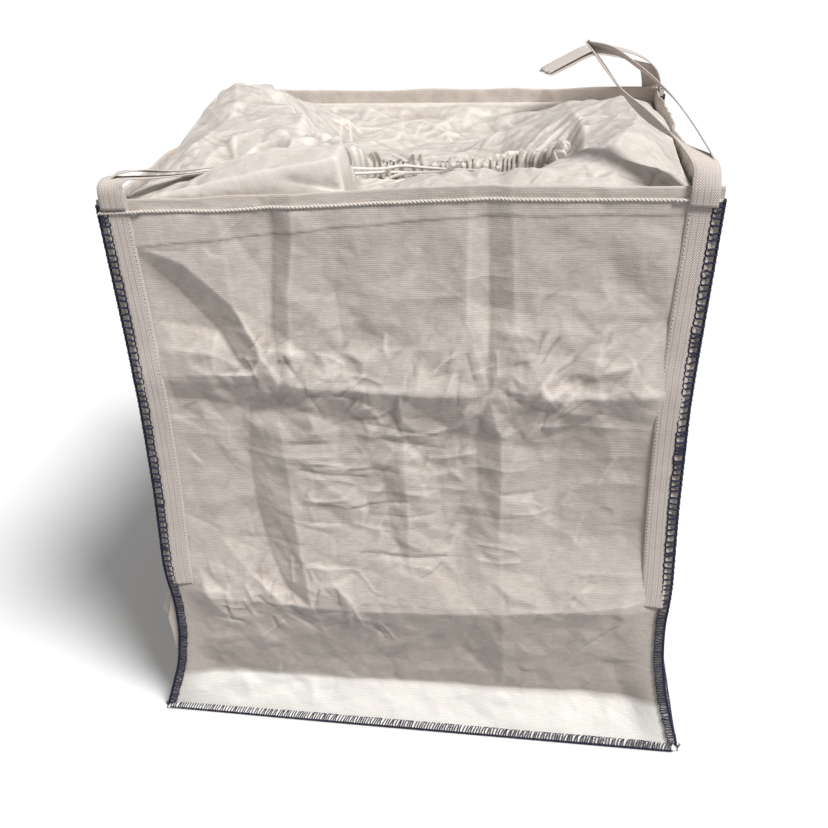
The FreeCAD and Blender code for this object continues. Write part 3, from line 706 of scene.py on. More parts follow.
def webbing_material(name):
    """Ribbed herringbone webbing, cream, matt, with painted shade along its edges."""
    paint = Wiring(bpy.data.materials.new(name))
    cloth = paint.node("ShaderNodeAttribute", attribute_name="wv").outputs["Vector"]
    u, v, _ = paint.split(cloth)
    rib = paint.wave(paint.total((paint.math("PINGPONG", u, 0.0045), 1.1), start=v), 0.0034)
    fuzz, cloud = paint.noise(cloth, 420.0, 4.0, 0.7), paint.noise(cloth, 18.0, 5.0, 0.6)
    # painted shade: the webbing darkens towards both edges, standing in for the shadow line its thickness
    # throws
    edge = paint.math("POWER", paint.math("MULTIPLY", paint.math("ABSOLUTE", u), 40.0, clamp=True), 6.0)
    tone = paint.total((rib, 0.16), (cloud, 0.9), (fuzz, 0.3), clamp=True)
    colour = paint.mix(tone, linear(186, 172, 163), linear(226, 216, 208))
    colour = paint.mix(paint.math("MULTIPLY", edge, 0.25), colour, linear(150, 138, 130))
    height = paint.total((rib, 0.00028), (paint.wave(u, 0.0045), 0.00018), (fuzz, 0.00045))
    return paint.finish(height, {"Base Color": colour, "Roughness": 0.82, "Sheen Weight": 0.25})


def thread_material(name, dark, light, twist=0.0022, rough=0.7):
    """Twisted yarn: fine slanting plies with a little fuzz."""
    paint = Wiring(bpy.data.materials.new(name))
    place = paint.node("ShaderNodeTexCoord").outputs["Object"]
    ply = paint.wave(paint.total(*((part, 1.0) for part in paint.split(place))), twist)
    fuzz = paint.noise(place, 260.0, 4.0, 0.7)
    colour = paint.mix(paint.total((ply, 0.22), (fuzz, 1.0), start=0.1, clamp=True), dark, light)
    height = paint.total((ply, 0.0002), (fuzz, 0.0004))
    return paint.finish(height, {"Base Color": colour, "Roughness": rough, "Sheen Weight": 0.08})


# 0.30 and 0.28 set the strength of the painted crease highlight and shade; foot=0.9 paints light onto the
# wall's foot
WALL = woven_material("woven_wall", linear(218, 208, 199), linear(183, 171, 162), crease_highlight_and_shade=0.30, foot=0.9)
DUFFLE = woven_material("woven_duffle", linear(222, 214, 206), linear(184, 173, 164), 0.0022, 0.0024, 0.40,
                        0.35, 0.28)
WEBBING = webbing_material("webbing")
SEAM = thread_material("seam_yarn", linear(5, 5, 12), linear(26, 28, 74), 0.0026, 0.55)
SEWING = thread_material("sewing_yarn", linear(205, 193, 184), linear(246, 240, 232))
CORD = thread_material("cord_yarn", linear(206, 196, 186), linear(250, 246, 240), 0.0035, 0.75)


# ---- seams
def stitch(rows, place, spacing, radius, sides=5):
    """A yarn tube through rows of (a, b, c), each put in the frame by place."""
    return tube(spline([place(*row) for row in rows], spacing), radius, sides)


def corner_seam(corner):
    """Overlock ladder wrapped round a corner fin."""
    sx, sy = CORNERS[corner]
    rng = np.random.default_rng(100 + 2 * sx + sy)
    parts = []

    def place(a, b, c):
        return sx * a, sy * b, c

    z, top = 0.012, 0.968 if corner == "front_left" else 0.982
    while z < top:
        fine = float(smooth(0.34, 0.24, z))
        crowd = 0.45 * float(rng.random() < 0.10) + 0.3 * float(z > top - 0.03)
        pitch = (0.0104 - 0.0052 * fine) * rng.uniform(0.85, 1.15) * (1 - crowd)
        radius = 0.00175 - 0.0007 * fine
        tip, out = float(fin_x(z, sx)), FRONT_Y + float(edge_out(z, sx, sy))
        low = z + rng.uniform(-0.0010, 0.0010)
        inner = tip - 0.0130 + rng.uniform(-0.0010, 0.0010)
        face, mid, rear = out + 0.0030, out - 0.0006, out - 0.0044
        high = z + rng.uniform(-0.0010, 0.0018)
        rung = [(inner, face - 0.0006, low), (inner + 0.004, face + 0.0005, low),
                (tip - 0.004, face + 0.0005, high), (tip + 0.0010, face - 0.0004, high),
                (tip + 0.0022, mid, high), (tip + 0.0006, rear, high + 0.002),
                (inner, rear - 0.0004, z + 0.0044)]
        parts.append(stitch(rung, place, 0.0028, radius, 6))
        link = [(inner, face, low), (inner - 0.0014, face + 0.0002, z + pitch * 0.5),
                (inner, face, z + pitch)]
        parts.append(stitch(link, place, 0.002, radius * 0.75))
        z += pitch
    zz = np.arange(0.008, top + 0.004, 0.0015)
    tips, outs = fin_x(zz, sx) + 0.0012, FRONT_Y + edge_out(zz, sx, sy) - 0.0006
    for shift, size in ((0.0, 0.0016), (2.1, 0.0014), (4.2, 0.0014)):
        turn = zz * 2 * math.pi / 0.0104 + shift
        line = place(tips + 0.0010 * np.cos(turn), outs + 0.0022 * np.sin(turn), zz)
        parts.append(tube(np.stack(line, -1), size, 5))
    foot, front = float(fin_x(0.01, sx)), FRONT_Y + float(edge_out(0.01, sx, sy))
    for k in range(3):
        reach = 0.004 + 0.003 * k
        tail = [(foot - 0.001 * k, front + 0.001, 0.012 - 0.003 * k),
                (foot + reach * 0.6, front + 0.004 - 0.002 * k, 0.0045),
                (foot + reach, front + 0.006 - 0.006 * k, 0.0022),
                (foot + reach * 0.7, front + 0.010 - 0.009 * k, 0.0016)]
        parts.append(stitch(tail, place, 0.002, 0.0008))
    make_object("seam_yarn_" + corner, ["corner_thread_" + corner], *joined_mesh(parts), SEAM,
                slot="seam_thread")


def base_edge(t, along_x, side):
    """Outer edge of the base fin along a side of the bag."""
    if along_x:
        share = smooth(-0.10, -0.48, t) if side < 0 else 0 * t
        return FRONT_Y + edge_between(t, 0 * t, side) + 0.0105 - 0.002 * share
    return fin_x(0 * t, side) - FIN + 0.0115 + 0.004


def base_seam(name, along_x, side):
    """Slanting overlock round one base fin."""
    rng = np.random.default_rng(200 + len(name) + side)
    at, high = (-0.468, 0.462) if along_x else (-0.425, 0.440)
    tt, parts = np.arange(at, high, 0.0018), []

    def place(a, b, c):
        return (a, side * b, c) if along_x else (side * b, a, c)

    while at < high:
        edge = float(base_edge(np.array(at), along_x, side))
        slant = 0.0035 + rng.uniform(-0.0015, 0.0015)
        inner = edge - 0.0125 + rng.uniform(-0.001, 0.001)
        rung = [(at + slant, inner, 0.0080), (at + slant * 0.5, edge - 0.006, 0.0078),
                (at, edge + 0.0004, 0.0060), (at, edge + 0.0018, 0.0036),
                (at - 0.001, edge + 0.0006, 0.0014)]
        parts.append(stitch(rung, place, 0.003, 0.00105))
        link = [(at + slant, inner, 0.0082), (at + slant + 0.0022, inner - 0.0008, 0.0084),
                (at + slant + 0.0045, inner, 0.0082)]
        parts.append(stitch(link, place, 0.002, 0.0008))
        at += (0.0046 if along_x else 0.0060) * rng.uniform(0.75, 1.25)
    edge = base_edge(tt, along_x, side)
    for shift in (0.0, math.pi):
        turn = tt * 2 * math.pi / 0.0078 + shift
        line = place(tt, edge + 0.0012 + 0.0005 * np.cos(turn), 0.0034 + 0.0013 * np.sin(turn))
        parts.append(tube(np.stack(line, -1), 0.0009, 5))
    make_object("base_yarn_" + name, ["base_thread_" + name], *joined_mesh(parts), SEAM, slot="seam_thread")


def rope(line, radius, pitch, out):
    """Two plies twisted round a line; out is the direction away from the cloth."""
    tangent = unit(np.gradient(line, axis=0))
    out = np.broadcast_to(out, line.shape)
    other = np.cross(tangent, out)
    parts = []
    for shift in (0.0, math.pi):
        turn = (run_length(line) * 2 * math.pi / pitch + shift)[:, None]
        offset = radius * 0.55 * (np.cos(turn) * out + np.sin(turn) * other)
        parts.append(tube(line + offset, radius * 0.72, 6))
    return parts


def hem_rope(name, along_x, side):
    """Thick twisted chain stitch through the hem, over the webbing legs."""
    low, high = (-0.452, 0.452) if along_x else (-0.440, 0.440)
    t = np.arange(low, high, 0.0013)
    if not along_x:
        z = HEM_LINE + (0.9605 - HEM_LINE if side < 0 else 0.0105) * smooth(-0.15, -0.44, t)
    elif side < 0:
        z = np.interp(t, STITCH_AT, STITCH_Z)
    else:
        z = 0 * t + HEM_LINE
    z = z + 0.0010 * noise(t, t * 0, 0.05, 300 + side)
    points = (end_point if along_x else side_point)(t, z, side)
    leg = 0.384 if along_x else 0.398
    out = np.array((0.0, side, 0.0) if along_x else (side, 0.0, 0.0), float)
    points += out * (0.0012 + 0.0028 * smooth(leg, leg + 0.008, np.abs(t)))[:, None]
    verts, faces = joined_mesh(rope(points, ROPE_RADIUS, ROPE_PITCH, out))
    make_object("hem_rope_" + name, ["hem_stitch_" + name], verts, faces, SEWING, slot="sewing_thread")


# ---- webbing
def leg_line(kind, sx, sy, z):
    """Centre line of a webbing leg on its panel, at heights z."""
    if kind == "end":
        points, axis, side = end_point(sx * (fin_x(z, sx) - LEG_INSET[kind]), z, sy), 1, sy
    else:
        points, axis, side = side_point(sy * (side_reach(z, sx, sy) - LEG_INSET[kind]), z, sx), 0, sx
    points[:, axis] += side * LEG_PROUD[kind]
    return np.stack([averaged(column) for column in points.T], -1)


def webbing_legs():
    """Two flat legs of each lift loop, sewn down its panels with rows of short stitches."""
    dashes = []
    z, fine = np.arange(LEG_FOOT, LEG_TOP, LEG_ROW), np.arange(0.300, 0.993, STITCH_PITCH)
    half = np.array((0, 0, STITCH_HALF))
    for corner, (sx, sy) in CORNERS.items():
        for kind in ("end", "side"):
            line = leg_line(kind, sx, sy, z)
            ways = ((1, 0, 0), (0, sy, 0)) if kind == "end" else ((0, 1, 0), (sx, 0, 0))
            across, out = np.array(ways, float)
            verts, faces, coords = ribbon(line, np.tile(across, (len(line), 1)), WEB, WEB_THICK)
            make_object(f"web_{kind}_{corner}", [f"{kind}_leg_{corner}"], verts, faces, WEBBING, coords,
                        slot="webbing")
            for offset in (-LEG_SEAM, LEG_SEAM):
                path = np.stack([np.interp(fine, z, line[:, k]) for k in range(3)], -1)
                for point in path + across * offset + out * 0.0012:
                    dash = [point - half, point + out * 0.0005, point + half]
                    dashes.append(tube(dash, (0.0003, 0.0006, 0.0003), 4))
    make_object("leg_stitches", ["leg_sewing"], *joined_mesh(dashes), SEWING, slot="sewing_thread")


def add_loop(corner):
    """The free loop of one lift strap, swept along its control points from the bag to the loop's body; the
    span of its bend over its foot is worked out but not used.
    """
    sx, sy = CORNERS[corner]
    line = spline(np.array(STRAPS[corner]) * (MM, MM, MM, 1, 1, 1), 0.004)
    verts, faces, coords = ribbon(line[:, :3], line[:, 3:], WEB, WEB_THICK)
    obj = make_object("strap_" + corner, ["lift_loop_" + corner], verts, faces, WEBBING, coords, body=None,
                      slot="webbing")
    origin = np.array([sx * LOOP_ROOT[0], sy * LOOP_ROOT[1], LOOP_ROOT[2]])
    inward = np.array([-sx, -sy, 0.0]) / math.sqrt(2)
    lean = math.radians(LEAN[corner])
    rise = np.array([0, 0, 1.0]) * math.cos(lean) + inward * math.sin(lean)
    start, end = (tuple(origin + rise * at) for at in LOOP_BEND)
    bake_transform(obj)
    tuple(start)
    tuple(end)


# Controls of each free loop, from its end leg to its side leg: x, y, z in millimetres, then the direction of
# the strap's width
STRAPS = {
    "front_right": [
        (427, -453.5, 975, 1, 0, 0), (428, -454.5, 1005, 1, 0.1, 0), (424, -440, 1035, 0.9, 0.4, 0),
        (390, -402, 1058, 0.48, 0.71, -0.43), (350, -362, 1083, 0.22, 0.74, -0.62),
        (320, -336, 1106, 0.29, 0.77, -0.54), (296, -312, 1134, 0.37, 0.81, -0.45),
        (277, -290, 1158, 0.37, 0.81, -0.45), (270, -279, 1166.5, 0.37, 0.81, -0.45),
        (284, -285, 1167, 0.37, 0.81, -0.45), (308, -300, 1162, 0.37, 0.81, -0.45),
        (330, -317, 1149, 0.37, 0.81, -0.45), (358, -339, 1130, 0.35, 0.82, -0.42),
        (388, -366, 1104, 0.28, 0.9, -0.35), (420, -400, 1064, 0.15, 0.97, -0.22),
        (442, -418, 1025, 0.05, 1, -0.05), (441, -424, 975, 0, 1, 0)],
    "back_right": [
        (427, 453.5, 975, -1, 0, 0), (427, 454, 1010, -1, 0.2, 0), (412, 433, 1045, -0.8, 0.6, 0),
        (370, 400, 1064, -0.5, 0.84, 0.1), (330, 378, 1076, -0.45, 0.87, 0.1),
        (290, 364, 1080, -0.48, 0.85, 0.1), (245, 352, 1062, -0.5, 0.83, 0.1),
        (208, 344, 1046, -0.5, 0.83, 0.1), (200, 343, 1048, -0.5, 0.83, 0.1),
        (208, 345, 1052, -0.5, 0.83, 0.1), (245, 354, 1070, -0.5, 0.83, 0.1),
        (293, 366, 1090, -0.48, 0.85, 0.1), (335, 380, 1088, -0.42, 0.88, 0.1),
        (380, 395, 1076, -0.25, 0.95, 0.1), (420, 408, 1053, -0.08, 0.99, 0.05), (440, 416, 1020, 0, 1, 0),
        (441, 424, 975, 0, 1, 0)],
    "front_left": [
        (-426.5, -453.5, 965, 1, 0, 0), (-427, -455, 992, 1, 0, 0), (-426, -451, 1003, 1, -0.03, 0),
        (-418, -439, 1008.5, 0.97, -0.2, 0), (-395, -419, 1006, 0.8, -0.55, 0.05),
        (-355, -381, 1000, 0.66, -0.7, 0.15), (-300, -342, 999, 0.62, -0.74, 0.2),
        (-240, -306, 1005, 0.62, -0.75, 0.1), (-232, -301, 1009, 0.62, -0.75, 0.1),
        (-240, -307, 1012, 0.62, -0.75, 0.1), (-300, -343, 1005, 0.62, -0.74, 0.2),
        (-355, -382, 1007, 0.66, -0.7, 0.2), (-395, -413, 1015, 0.62, -0.72, 0.2),
        (-428, -423, 1011, 0.3, -0.95, 0.1), (-443, -422, 991, 0, -1, 0), (-440.5, -424, 965, 0, -1, 0)],
    "back_left": [
        (-427, 453.5, 975, 1, 0, 0), (-427, 454, 1000, 1, 0, 0), (-422, 442, 1009.5, 0.98, 0.15, 0),
        (-408, 410, 1006, 0.95, 0.3, 0), (-390, 360, 1000, 0.95, 0.3, 0), (-373, 300, 1000, 0.96, 0.25, 0),
        (-360, 205, 1011, 0.97, 0.22, 0), (-358, 196, 1015, 0.97, 0.22, 0),
        (-360, 205, 1019, 0.97, 0.22, 0), (-376, 300, 1007, 0.96, 0.25, 0), (-392, 360, 1008, 0.9, 0.4, 0),
        (-415, 405, 1014, 0.65, 0.75, 0), (-435, 421, 1008, 0.25, 0.96, 0), (-443, 422, 992, 0, 1, 0),
        (-440.5, 424, 975, 0, 1, 0)],
}


# ---- duffle top
def duffle_facets():
    """Billows and folds of the duffle top: x, y and height over the rim stitch in millimetres."""
    ridge = [(-.415, -.14, 38), (-.402, -.05, 78), (-.355, .01, 106), (-.3, -.03, 94), (-.225, -.1, 78),
        (-.155, -.19, 66), (-.112, -.28, 64), (-.092, -.355, 76)]
    rear = [(-.355, .01, 106), (-.325, .11, 84), (-.29, .2, 52), (-.25, .29, 16)]
    flap = [(-.3, -.385, 44), (-.235, -.375, 64), (-.2, -.37, 72), (-.14, -.365, 74), (-.092, -.355, 76)]
    hem = [(-.4, -.42, 10), (-.33, -.415, 22), (-.27, -.415, 34), (-.2, -.415, 46), (-.13, -.412, 56),
        (-.094, -.405, 66)]
    cliff = [(-.082, -.415, 4), (-.08, -.355, 0), (-.088, -.28, -6), (-.13, -.215, -12), (-.19, -.13, -22),
        (-.215, -.02, -28), (-.205, .1, -34), (-.19, .2, -40)]
    gutter = [(-.235, -.325, 40), (-.3, -.325, 22), (-.36, -.325, 14)]
    sharp = [(-.402, -.05, 78), (-.335, -.12, 76), (-.27, -.2, 64), (-.2, -.28, 58), (-.14, -.3, 56)]
    soft = [(-.355, .01, 106), (-.33, -.09, 92), (-.345, -.2, 66), (-.37, -.26, 36)]
    right = [(.39, -.1, 44), (.36, .02, 66), (.33, .14, 62), (.27, .26, 36), (.2, .34, 4)]
    roll_1 = [(.235, -.2, 12), (.27, -.05, 44), (.25, .1, 40), (.205, .24, 8)]
    roll_2 = [(.255, -.06, 26), (.2, .06, 6), (.13, .2, -22)]
    roll_3 = [(.3, -.3, 46), (.33, -.22, 60), (.36, -.1, 62), (.36, .02, 66)]
    knob = [(.2, -.36, 30), (.25, -.345, 38), (.3, -.3, 46)]
    back = [(-.2, .4, -16), (-.05, .385, -28), (.1, .39, -26), (.22, .395, -14)]
    mid = [(-.12, .22, -48), (.02, .2, -52), (.12, .13, -44), (.16, .04, -34)]
    loose = [(-.425, -.43, 0), (-.427, -.3, 2), (-.425, -.2, 14), (-.424, -.1, 34), (-.422, 0, 52),
        (-.42, .08, 40), (-.422, .2, 12), (-.425, .32, 2), (-.42, .43, 0), (-.395, .03, 88),
        (-.39, .12, 62), (-.37, .21, 30), (-.35, .31, 6), (-.33, .4, -2), (-.26, .42, -4), (-.1, .43, -6),
        (.05, .43, -4), (.2, .43, -6), (.3, .42, 0), (.42, .43, 0), (-.39, -.22, 34), (-.4, -.36, 8),
        (-.3, .3, 10), (-.24, .34, -8), (-.17, .29, -34), (-.26, .07, 52), (-.275, .03, 78),
        (-.02, .3, -50), (.08, .29, -46), (.16, .31, -24), (.425, .3, 2), (.425, .15, 22), (.425, 0, 26),
        (.425, -.15, 14), (.425, -.3, 2), (.42, -.43, 0), (.4, .22, 30), (.37, .32, 16), (.3, .35, 12),
        (.35, .42, 0), (.31, .02, 48), (.3, .12, 54), (.31, -.12, 44), (.27, -.14, 26), (.36, -.36, 34),
        (.38, -.22, 44), (.3, -.38, 30), (.24, -.28, 34), (.136, -.317, 27), (.19, -.25, 10),
        (.084, -.33, 31), (.06, -.3, 20), (0, -.37, 16), (-.03, -.31, 2), (.142, -.271, 11),
        (.12, -.227, -1), (.044, -.256, 3), (.014, -.226, -4), (0, -.26, -6), (.06, -.41, 10), (0, -.42, 8),
        (.15, -.41, 12), (.25, -.42, 18), (.33, -.42, 18), (-.09, .05, -40), (-.06, .13, -48),
        (.06, .02, -34), (-.1, -.03, -32), (.26, 0, 34), (.2, -.03, -6)]
    jitter = np.random.default_rng(77)
    lines = [ridge, rear, flap, hem, cliff, gutter, sharp, soft, right, roll_1, roll_2, roll_3, knob, back,
        mid]
    points, edges = chains([(x, y, h + jitter.uniform(-2, 2)) for x, y, h in loose], lines)
    return facet_map(points, edges, RIM_BOX, 1)


def duffle_height(x, y, depth):
    """Height of the duffle fabric over the floor; depth is 0 at the rim and 1 at the neck."""
    free = sample(duffle_facets(), x, y)
    level = RIM_Z + free * smooth(0.0, 0.035, depth)
    return level * (1 - smooth(0.80, 0.99, depth)) + NECK_Z * smooth(0.80, 0.99, depth)


def under_cords(x, y, z):
    """Cloth height pressed down just under the loose cords."""
    for route in (DRAWCORD[:6], DRAWCORD[-4:], TIE_CORD[:4], TIE_CORD[-4:]):
        for point in spline(np.array(route) * MM, 0.004):
            d = np.hypot(x - point[0], y - point[1])
            level = point[2] - 0.0040 + np.maximum(0, d - 0.004) * 0.9
            z = np.where((d < 0.03) & (z < point[2] + 0.014), np.minimum(z, level), z)
    return z


def under_strap(x, y, z, corner):
    """Cloth height pressed down where a loop's strap lies over it."""
    line = np.array(STRAPS[corner])[3:8, :3] * MM
    best, level = np.full(x.shape, 9.0), np.zeros(x.shape)
    for a, b in zip(line[:-1], line[1:]):
        dx, dy = b[0] - a[0], b[1] - a[1]
        t = np.clip(((x - a[0]) * dx + (y - a[1]) * dy) / (dx * dx + dy * dy), 0, 1)
        d = np.hypot(x - a[0] - t * dx, y - a[1] - t * dy)
        level = np.where(d < best, a[2] + t * (b[2] - a[2]), level)
        best = np.minimum(d, best)
    return np.minimum(z, level - 0.008 + np.maximum(0, best - 0.026) * 1.3)


def neck_outline(share, radius):
    """Point on the neck's outline; share 0-4 goes round front, right, back, left."""
    side = int(share) % 4
    s = (share - int(share)) * 2 - 1
    quarter = math.pi / 4
    if side in (1, 3):
        sx = 2 - side
        return NECK[0] + sx * (NECK_STRAIGHT + radius * math.cos(quarter * s)), \
            NECK[1] + sx * radius * math.sin(quarter * s)
    sy = side - 1
    run = -s * (NECK_STRAIGHT + radius * quarter) * sy
    a = max(0.0, abs(run) - NECK_STRAIGHT) / radius
    straight = math.copysign(min(abs(run), NECK_STRAIGHT), run)
    return NECK[0] + straight + math.copysign(radius * math.sin(a), run), NECK[1] + sy * radius * math.cos(a)


def rim_outline(share):
    """Point on the rim's rectangle, with the same shares as neck_outline."""
    side, s = int(share) % 4, (share - int(share)) * 2 - 1
    return ((s * RIM_X, -RIM_Y), (RIM_X, s * RIM_Y), (-s * RIM_X, RIM_Y), (-RIM_X, -s * RIM_Y))[side]


DUFFLE_CRUMPLE = ((0.075, 31, 0.0050, 1), (0.036, 32, 0.0030, 0), (0.018, 33, 0.0010, 0))
DUFFLE_CREASES = ((51, 64, (-0.42, 0.42, -0.42, 0.42), 0.075, 0.8, 1.6, 0.0034, 0.0042),
                  (52, 26, (-0.42, -0.10, -0.36, 0.30), 0.11, 2.2, 0.5, 0.0050, 0.0060))


def duffle_sheet(material, frill):
    """The whole duffle top from hem stitch to neck in one crumpled sheet."""
    around, rows = 960, 130
    shares = np.arange(around) * 4.0 / around
    rim = np.array([rim_outline(s) for s in shares])
    neck = np.array([neck_outline(s, NECK_RADIUS + 0.001) for s in shares])
    depth = np.linspace(0, 1, rows)[:, None]
    x, y = (rim[None, :, k] * (1 - depth) + neck[None, :, k] * depth for k in (0, 1))
    z = duffle_height(x, y, depth)
    angle = np.arctan2(y - NECK[1], x - NECK[0])
    pleats = np.zeros_like(x)
    rng = np.random.default_rng(5)
    for k in (17, 26, 37, 53):
        phase = (angle * k / (2 * math.pi) + rng.random()) % 1.0
        pleats += (1 - 2 * np.abs(phase * 2 - 1)) * rng.uniform(0.6, 1.0)
    z += pleats * 0.0050 * smooth(0.45, 1.0, depth) ** 1.5
    flap = smooth(-0.31, -0.28, x) * smooth(-0.06, -0.08, x) * smooth(-0.32, -0.35, y)
    relief = sum(sample(crumple((-0.5, 0.5, -0.5, 0.5), RIM_BOX, *row), x, y) for row in DUFFLE_CRUMPLE)
    relief += sum(random_creases(x, y, *row) for row in DUFFLE_CREASES)
    z += relief * smooth(0.0, 0.10, depth) * smooth(1.0, 0.90, depth) * (1 - 0.75 * flap)
    for corner in ("front_left", "back_left", "back_right"):
        z = under_strap(x, y, z, corner)
    z = under_cords(x, y, z)
    coords = np.stack([x + 0.6 * z, y - 0.6 * z, 0 * z], -1)
    obj = make_object("duffle_fabric", ["duffle_front", "duffle_back", "duffle_left", "duffle_right"],
                      np.stack([x, y, z], -1), grid_faces(rows, around, closed=True), material, coords,
                      bend_map(z), body=None, slot="duffle_fabric")
    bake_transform(obj)


def neck_frill(material):
    """Gathered hem of the duffle: an uneven pleated band round the opening."""
    around, count = 1100, 72
    shares = np.arange(around) * 4.0 / around
    base = np.array([neck_outline(s, NECK_RADIUS) for s in shares])
    outward = unit(base - np.array([neck_outline(s, NECK_RADIUS - 0.010) for s in shares]))
    girth = run_length(base)
    lap = girth / (girth[-1] + 0.001)
    rng = np.random.default_rng(8)
    widths = np.exp(rng.normal(0, 0.30, count))
    turn = np.interp(lap, np.concatenate([[0], np.cumsum(widths)]) / widths.sum(), np.arange(count + 1))
    sizes = np.append(rng.uniform(0.15, 1.8, count), 0)
    heights = rng.uniform(0.35, 1.6, count + 1)
    sizes[-1], heights[-1] = sizes[0], heights[0]
    size, height = (np.interp(turn, np.arange(count + 1), values) for values in (sizes, heights))
    pleat = np.sin(2 * math.pi * turn) + 0.35 * np.sin(4 * math.pi * turn + 0.7)
    sway = 0.0035 * np.sin(6 * math.pi * lap + 1.0) + 0.0025 * np.sin(14 * math.pi * lap + 0.4)
    ends, back = np.abs(base[:, 0] - NECK[0]) / 0.19, (base[:, 1] - NECK[1]) / NECK_RADIUS
    rise = (0.30 + 0.35 * smooth(0.55, 1.0, ends)) * (0.35 + 0.65 * smooth(-0.95, 0.1, back)) * height
    rise += 0.20 * np.exp(-((base[:, 0] + 0.145) / 0.05) ** 2)
    rise += 0.50 * np.exp(-((base[:, 0] - 0.235) / 0.06) ** 2)
    profile = [(0.004, -0.004, 0.3), (-0.002, 0.003, 0.5), (-0.007, 0.007, 0.35), (-0.0085, 0.011, 0.3),
               (-0.006, 0.017, 0.7), (0.001, 0.026, 1.3), (0.006, 0.035, 1.8), (0.005, 0.039, 1.9),
               (0.000, 0.039, 1.9), (-0.005, 0.033, 1.6), (-0.011, 0.022, 1.0), (-0.0145, 0.010, 0.5),
               (-0.0150, 0.002, 0.5), (-0.0165, -0.008, 0.6), (-0.017, -0.018, 0.6)]
    rows, coords = [], []
    for k, (off, up, gain) in enumerate(profile):
        shift = off + 0.0028 * gain * pleat * size + sway * min(1.0, gain)
        lift = up * np.where(up > 0.012, rise, 1.0) + 0.0030 * gain * np.cos(2 * math.pi * turn + 1.0) * size
        rows.append(np.column_stack([base + outward * shift[:, None], NECK_Z + lift]))
        coords.append(np.column_stack([girth * 2.0, np.full(around, k * 0.004), np.zeros(around)]))
    # the pleat wave also drives the painted highlight on pleat crests and the painted shade in pleat hollows
    fold = np.broadcast_to(pleat * 0.6, (len(profile), around))
    return make_object("neck_frill", ["duffle_hem"], rows, grid_faces(len(profile), around, closed=True),
                       material, coords, fold, body="duffle_neck", slot="duffle_fabric")


# ---- cords
def cord_curve(name, points):
    """A round cord along points in millimetres, carried by the neck."""
    curve = bpy.data.curves.new(name, "CURVE")
    curve.dimensions = "3D"
    line = curve.splines.new("NURBS")
    line.points.add(len(points) - 1)
    for target, (x, y, z) in zip(line.points, points):
        target.co = (x / 1000.0, y / 1000.0, z / 1000.0, 1.0)
    line.order_u = 3
    line.use_endpoint_u = True
    line.resolution_u = 8
    curve.bevel_depth = CORD_DIAMETER / 2
    curve.bevel_resolution = 3
    curve.use_fill_caps = True
    obj = bpy.data.objects.new(name, curve)
    bpy.context.scene.collection.objects.link(obj)
    curve.materials.append(CORD)
    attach(obj, "duffle_neck")
    return obj


def near_neck(rows):
    """Cord route points from rows of (x, distance in front of the neck's centre, z), millimetres."""
    return [(x, 1000.0 * NECK[1] - forward, z) for x, forward, z in rows]


def end_turn(centre_x, start):
    """Half a turn of the drawcord round one end of the neck, from the angle start in degrees."""
    turn = [math.radians(start + 30.0 * k) for k in range(6)]
    return [(centre_x + 61.0 * math.cos(a), 1000.0 * NECK[1] + 61.0 * math.sin(a), 939.0) for a in turn]


DRAWCORD = (near_neck([(-96, 192, 1003), (-112, 150, 989), (-108, 108, 974), (-88, 74, 967), (-50, 58, 966),
                       (-8, 54, 963), (30, 59, 955), (72, 61, 939), (122, 62, 939)])
            + end_turn(165.0, -75.0) + near_neck([(110, -62, 939), (48, -60, 939), (-14, -62, 939)])
            + end_turn(-75.0, 105.0)
            + near_neck([(-58, 60.5, 952), (-24, 65, 966), (14, 81, 970), (44, 111, 977), (60, 153, 993),
                         (84, 183, 1006)]))
TIE_CORD = near_neck([(-150, 162, 1002), (-128, 132, 991), (-92, 120, 985), (-56, 80, 975), (-32, 42, 973),
                      (4, 18, 964), (42, 22, 962), (84, 46, 966), (120, 82, 973), (142, 126, 985),
                      (136, 172, 1000)])


def cords():
    """The two loose cords; each one's exit, the end that shows on the flap, and its length are listed but
    not used.
    """
    for name, node, route, place, length in (
            ("drawcord_rope", "drawcord", DRAWCORD, (-0.096, -0.337, 1.003), 1.22),
            ("tie_rope", "tie_cord", TIE_CORD, (-0.150, -0.307, 1.002), 0.45)):
        cord = cord_curve(name, route)
        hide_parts(node)
        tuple(place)


# ---- stage
def grey(value):
    """Opaque neutral colour."""
    return (value, value, value, 1.0)


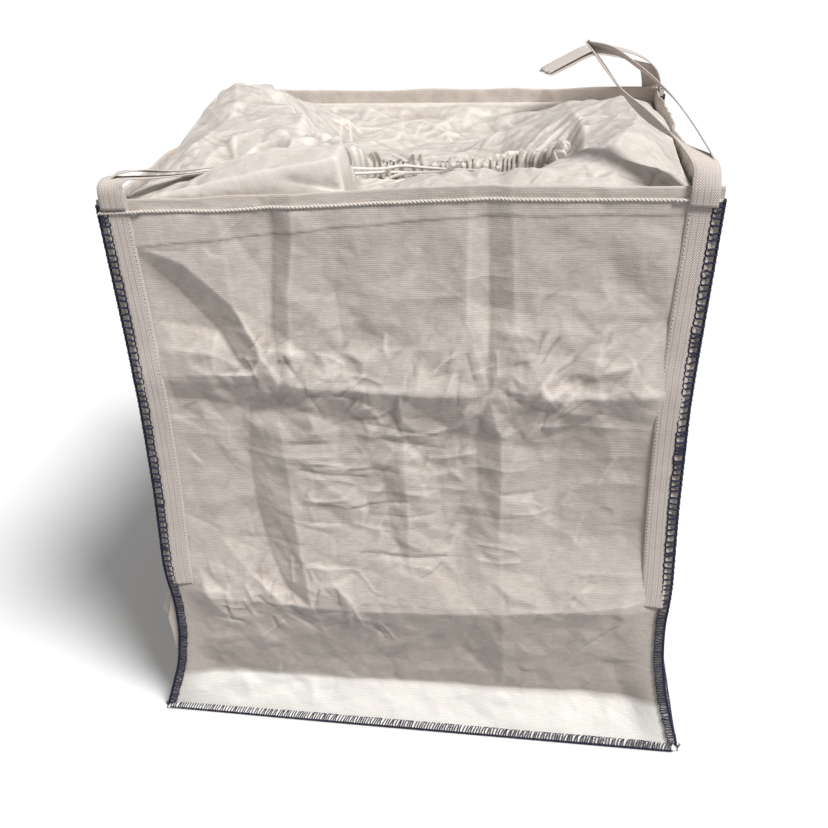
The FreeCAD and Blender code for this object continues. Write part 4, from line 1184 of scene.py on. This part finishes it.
def stage():
    """White floor and sky seen by the camera, with dimmer ones for the light, and a soft sun."""
    scene = bpy.context.scene
    scene.view_settings.view_transform = "Standard"
    scene.world = bpy.data.worlds.new("world")
    sky = Wiring(scene.world)
    dim = sky.fill(sky.tree.nodes["Background"], {0: grey(1.0), 1: 0.34})
    plain = sky.node("ShaderNodeBackground", {0: grey(1.0), 1: 1.0})
    seen = sky.node("ShaderNodeLightPath").outputs["Is Camera Ray"]
    choose = sky.node("ShaderNodeMixShader", {0: seen, 1: dim.outputs[0], 2: plain.outputs[0]})
    sky.put(sky.tree.nodes["World Output"].inputs[0], choose.outputs[0])
    sun = bpy.data.lights.new("soft_sun", "SUN")
    sun.energy, sun.angle = 3.75, math.radians(19)
    light = bpy.data.objects.new("soft_sun", sun)
    light.matrix_world = Vector((-0.82, 0.66, -1.5)).to_track_quat("-Z", "Y").to_matrix().to_4x4()
    scene.collection.objects.link(light)
    n = 41
    x, y = np.meshgrid(np.linspace(-7, 7, n), np.linspace(-7, 7, n), indexing="xy")
    mesh = bpy.data.meshes.new("floor")
    points = np.stack([x, y, 0 * x - 0.0006], -1).reshape(-1, 3)
    mesh.from_pydata(points.tolist(), [], grid_faces(n, n).tolist())
    floor = bpy.data.objects.new("floor", mesh)
    scene.collection.objects.link(floor)
    paint = Wiring(bpy.data.materials.new("floor_paint"))
    place = paint.node("ShaderNodeTexCoord").outputs["Object"]
    pale = paint.mix(paint.noise(place, 3.0, 3.0), grey(0.80), grey(0.82))
    seen = paint.node("ShaderNodeLightPath").outputs["Is Camera Ray"]
    paint.fill(paint.tree.nodes["Principled BSDF"], {"Base Color": paint.mix(seen, grey(0.30), pale),
                                                     "Roughness": 0.9, "Specular IOR Level": 0.1})
    mesh.materials.append(paint.owner)


cords()
for panel in (end_sheet, side_sheet):
    for panel_side in (-1, 1):
        panel(panel_side, WALL)
base_sheet(WALL)
for corner_name in CORNERS:
    corner_seam(corner_name)
for sew in (base_seam, hem_rope):
    for bag_side in SIDES:
        sew(*bag_side)
webbing_legs()
for corner_name in STRAPS:
    add_loop(corner_name)
duffle_sheet(DUFFLE, neck_frill(DUFFLE))
stage()
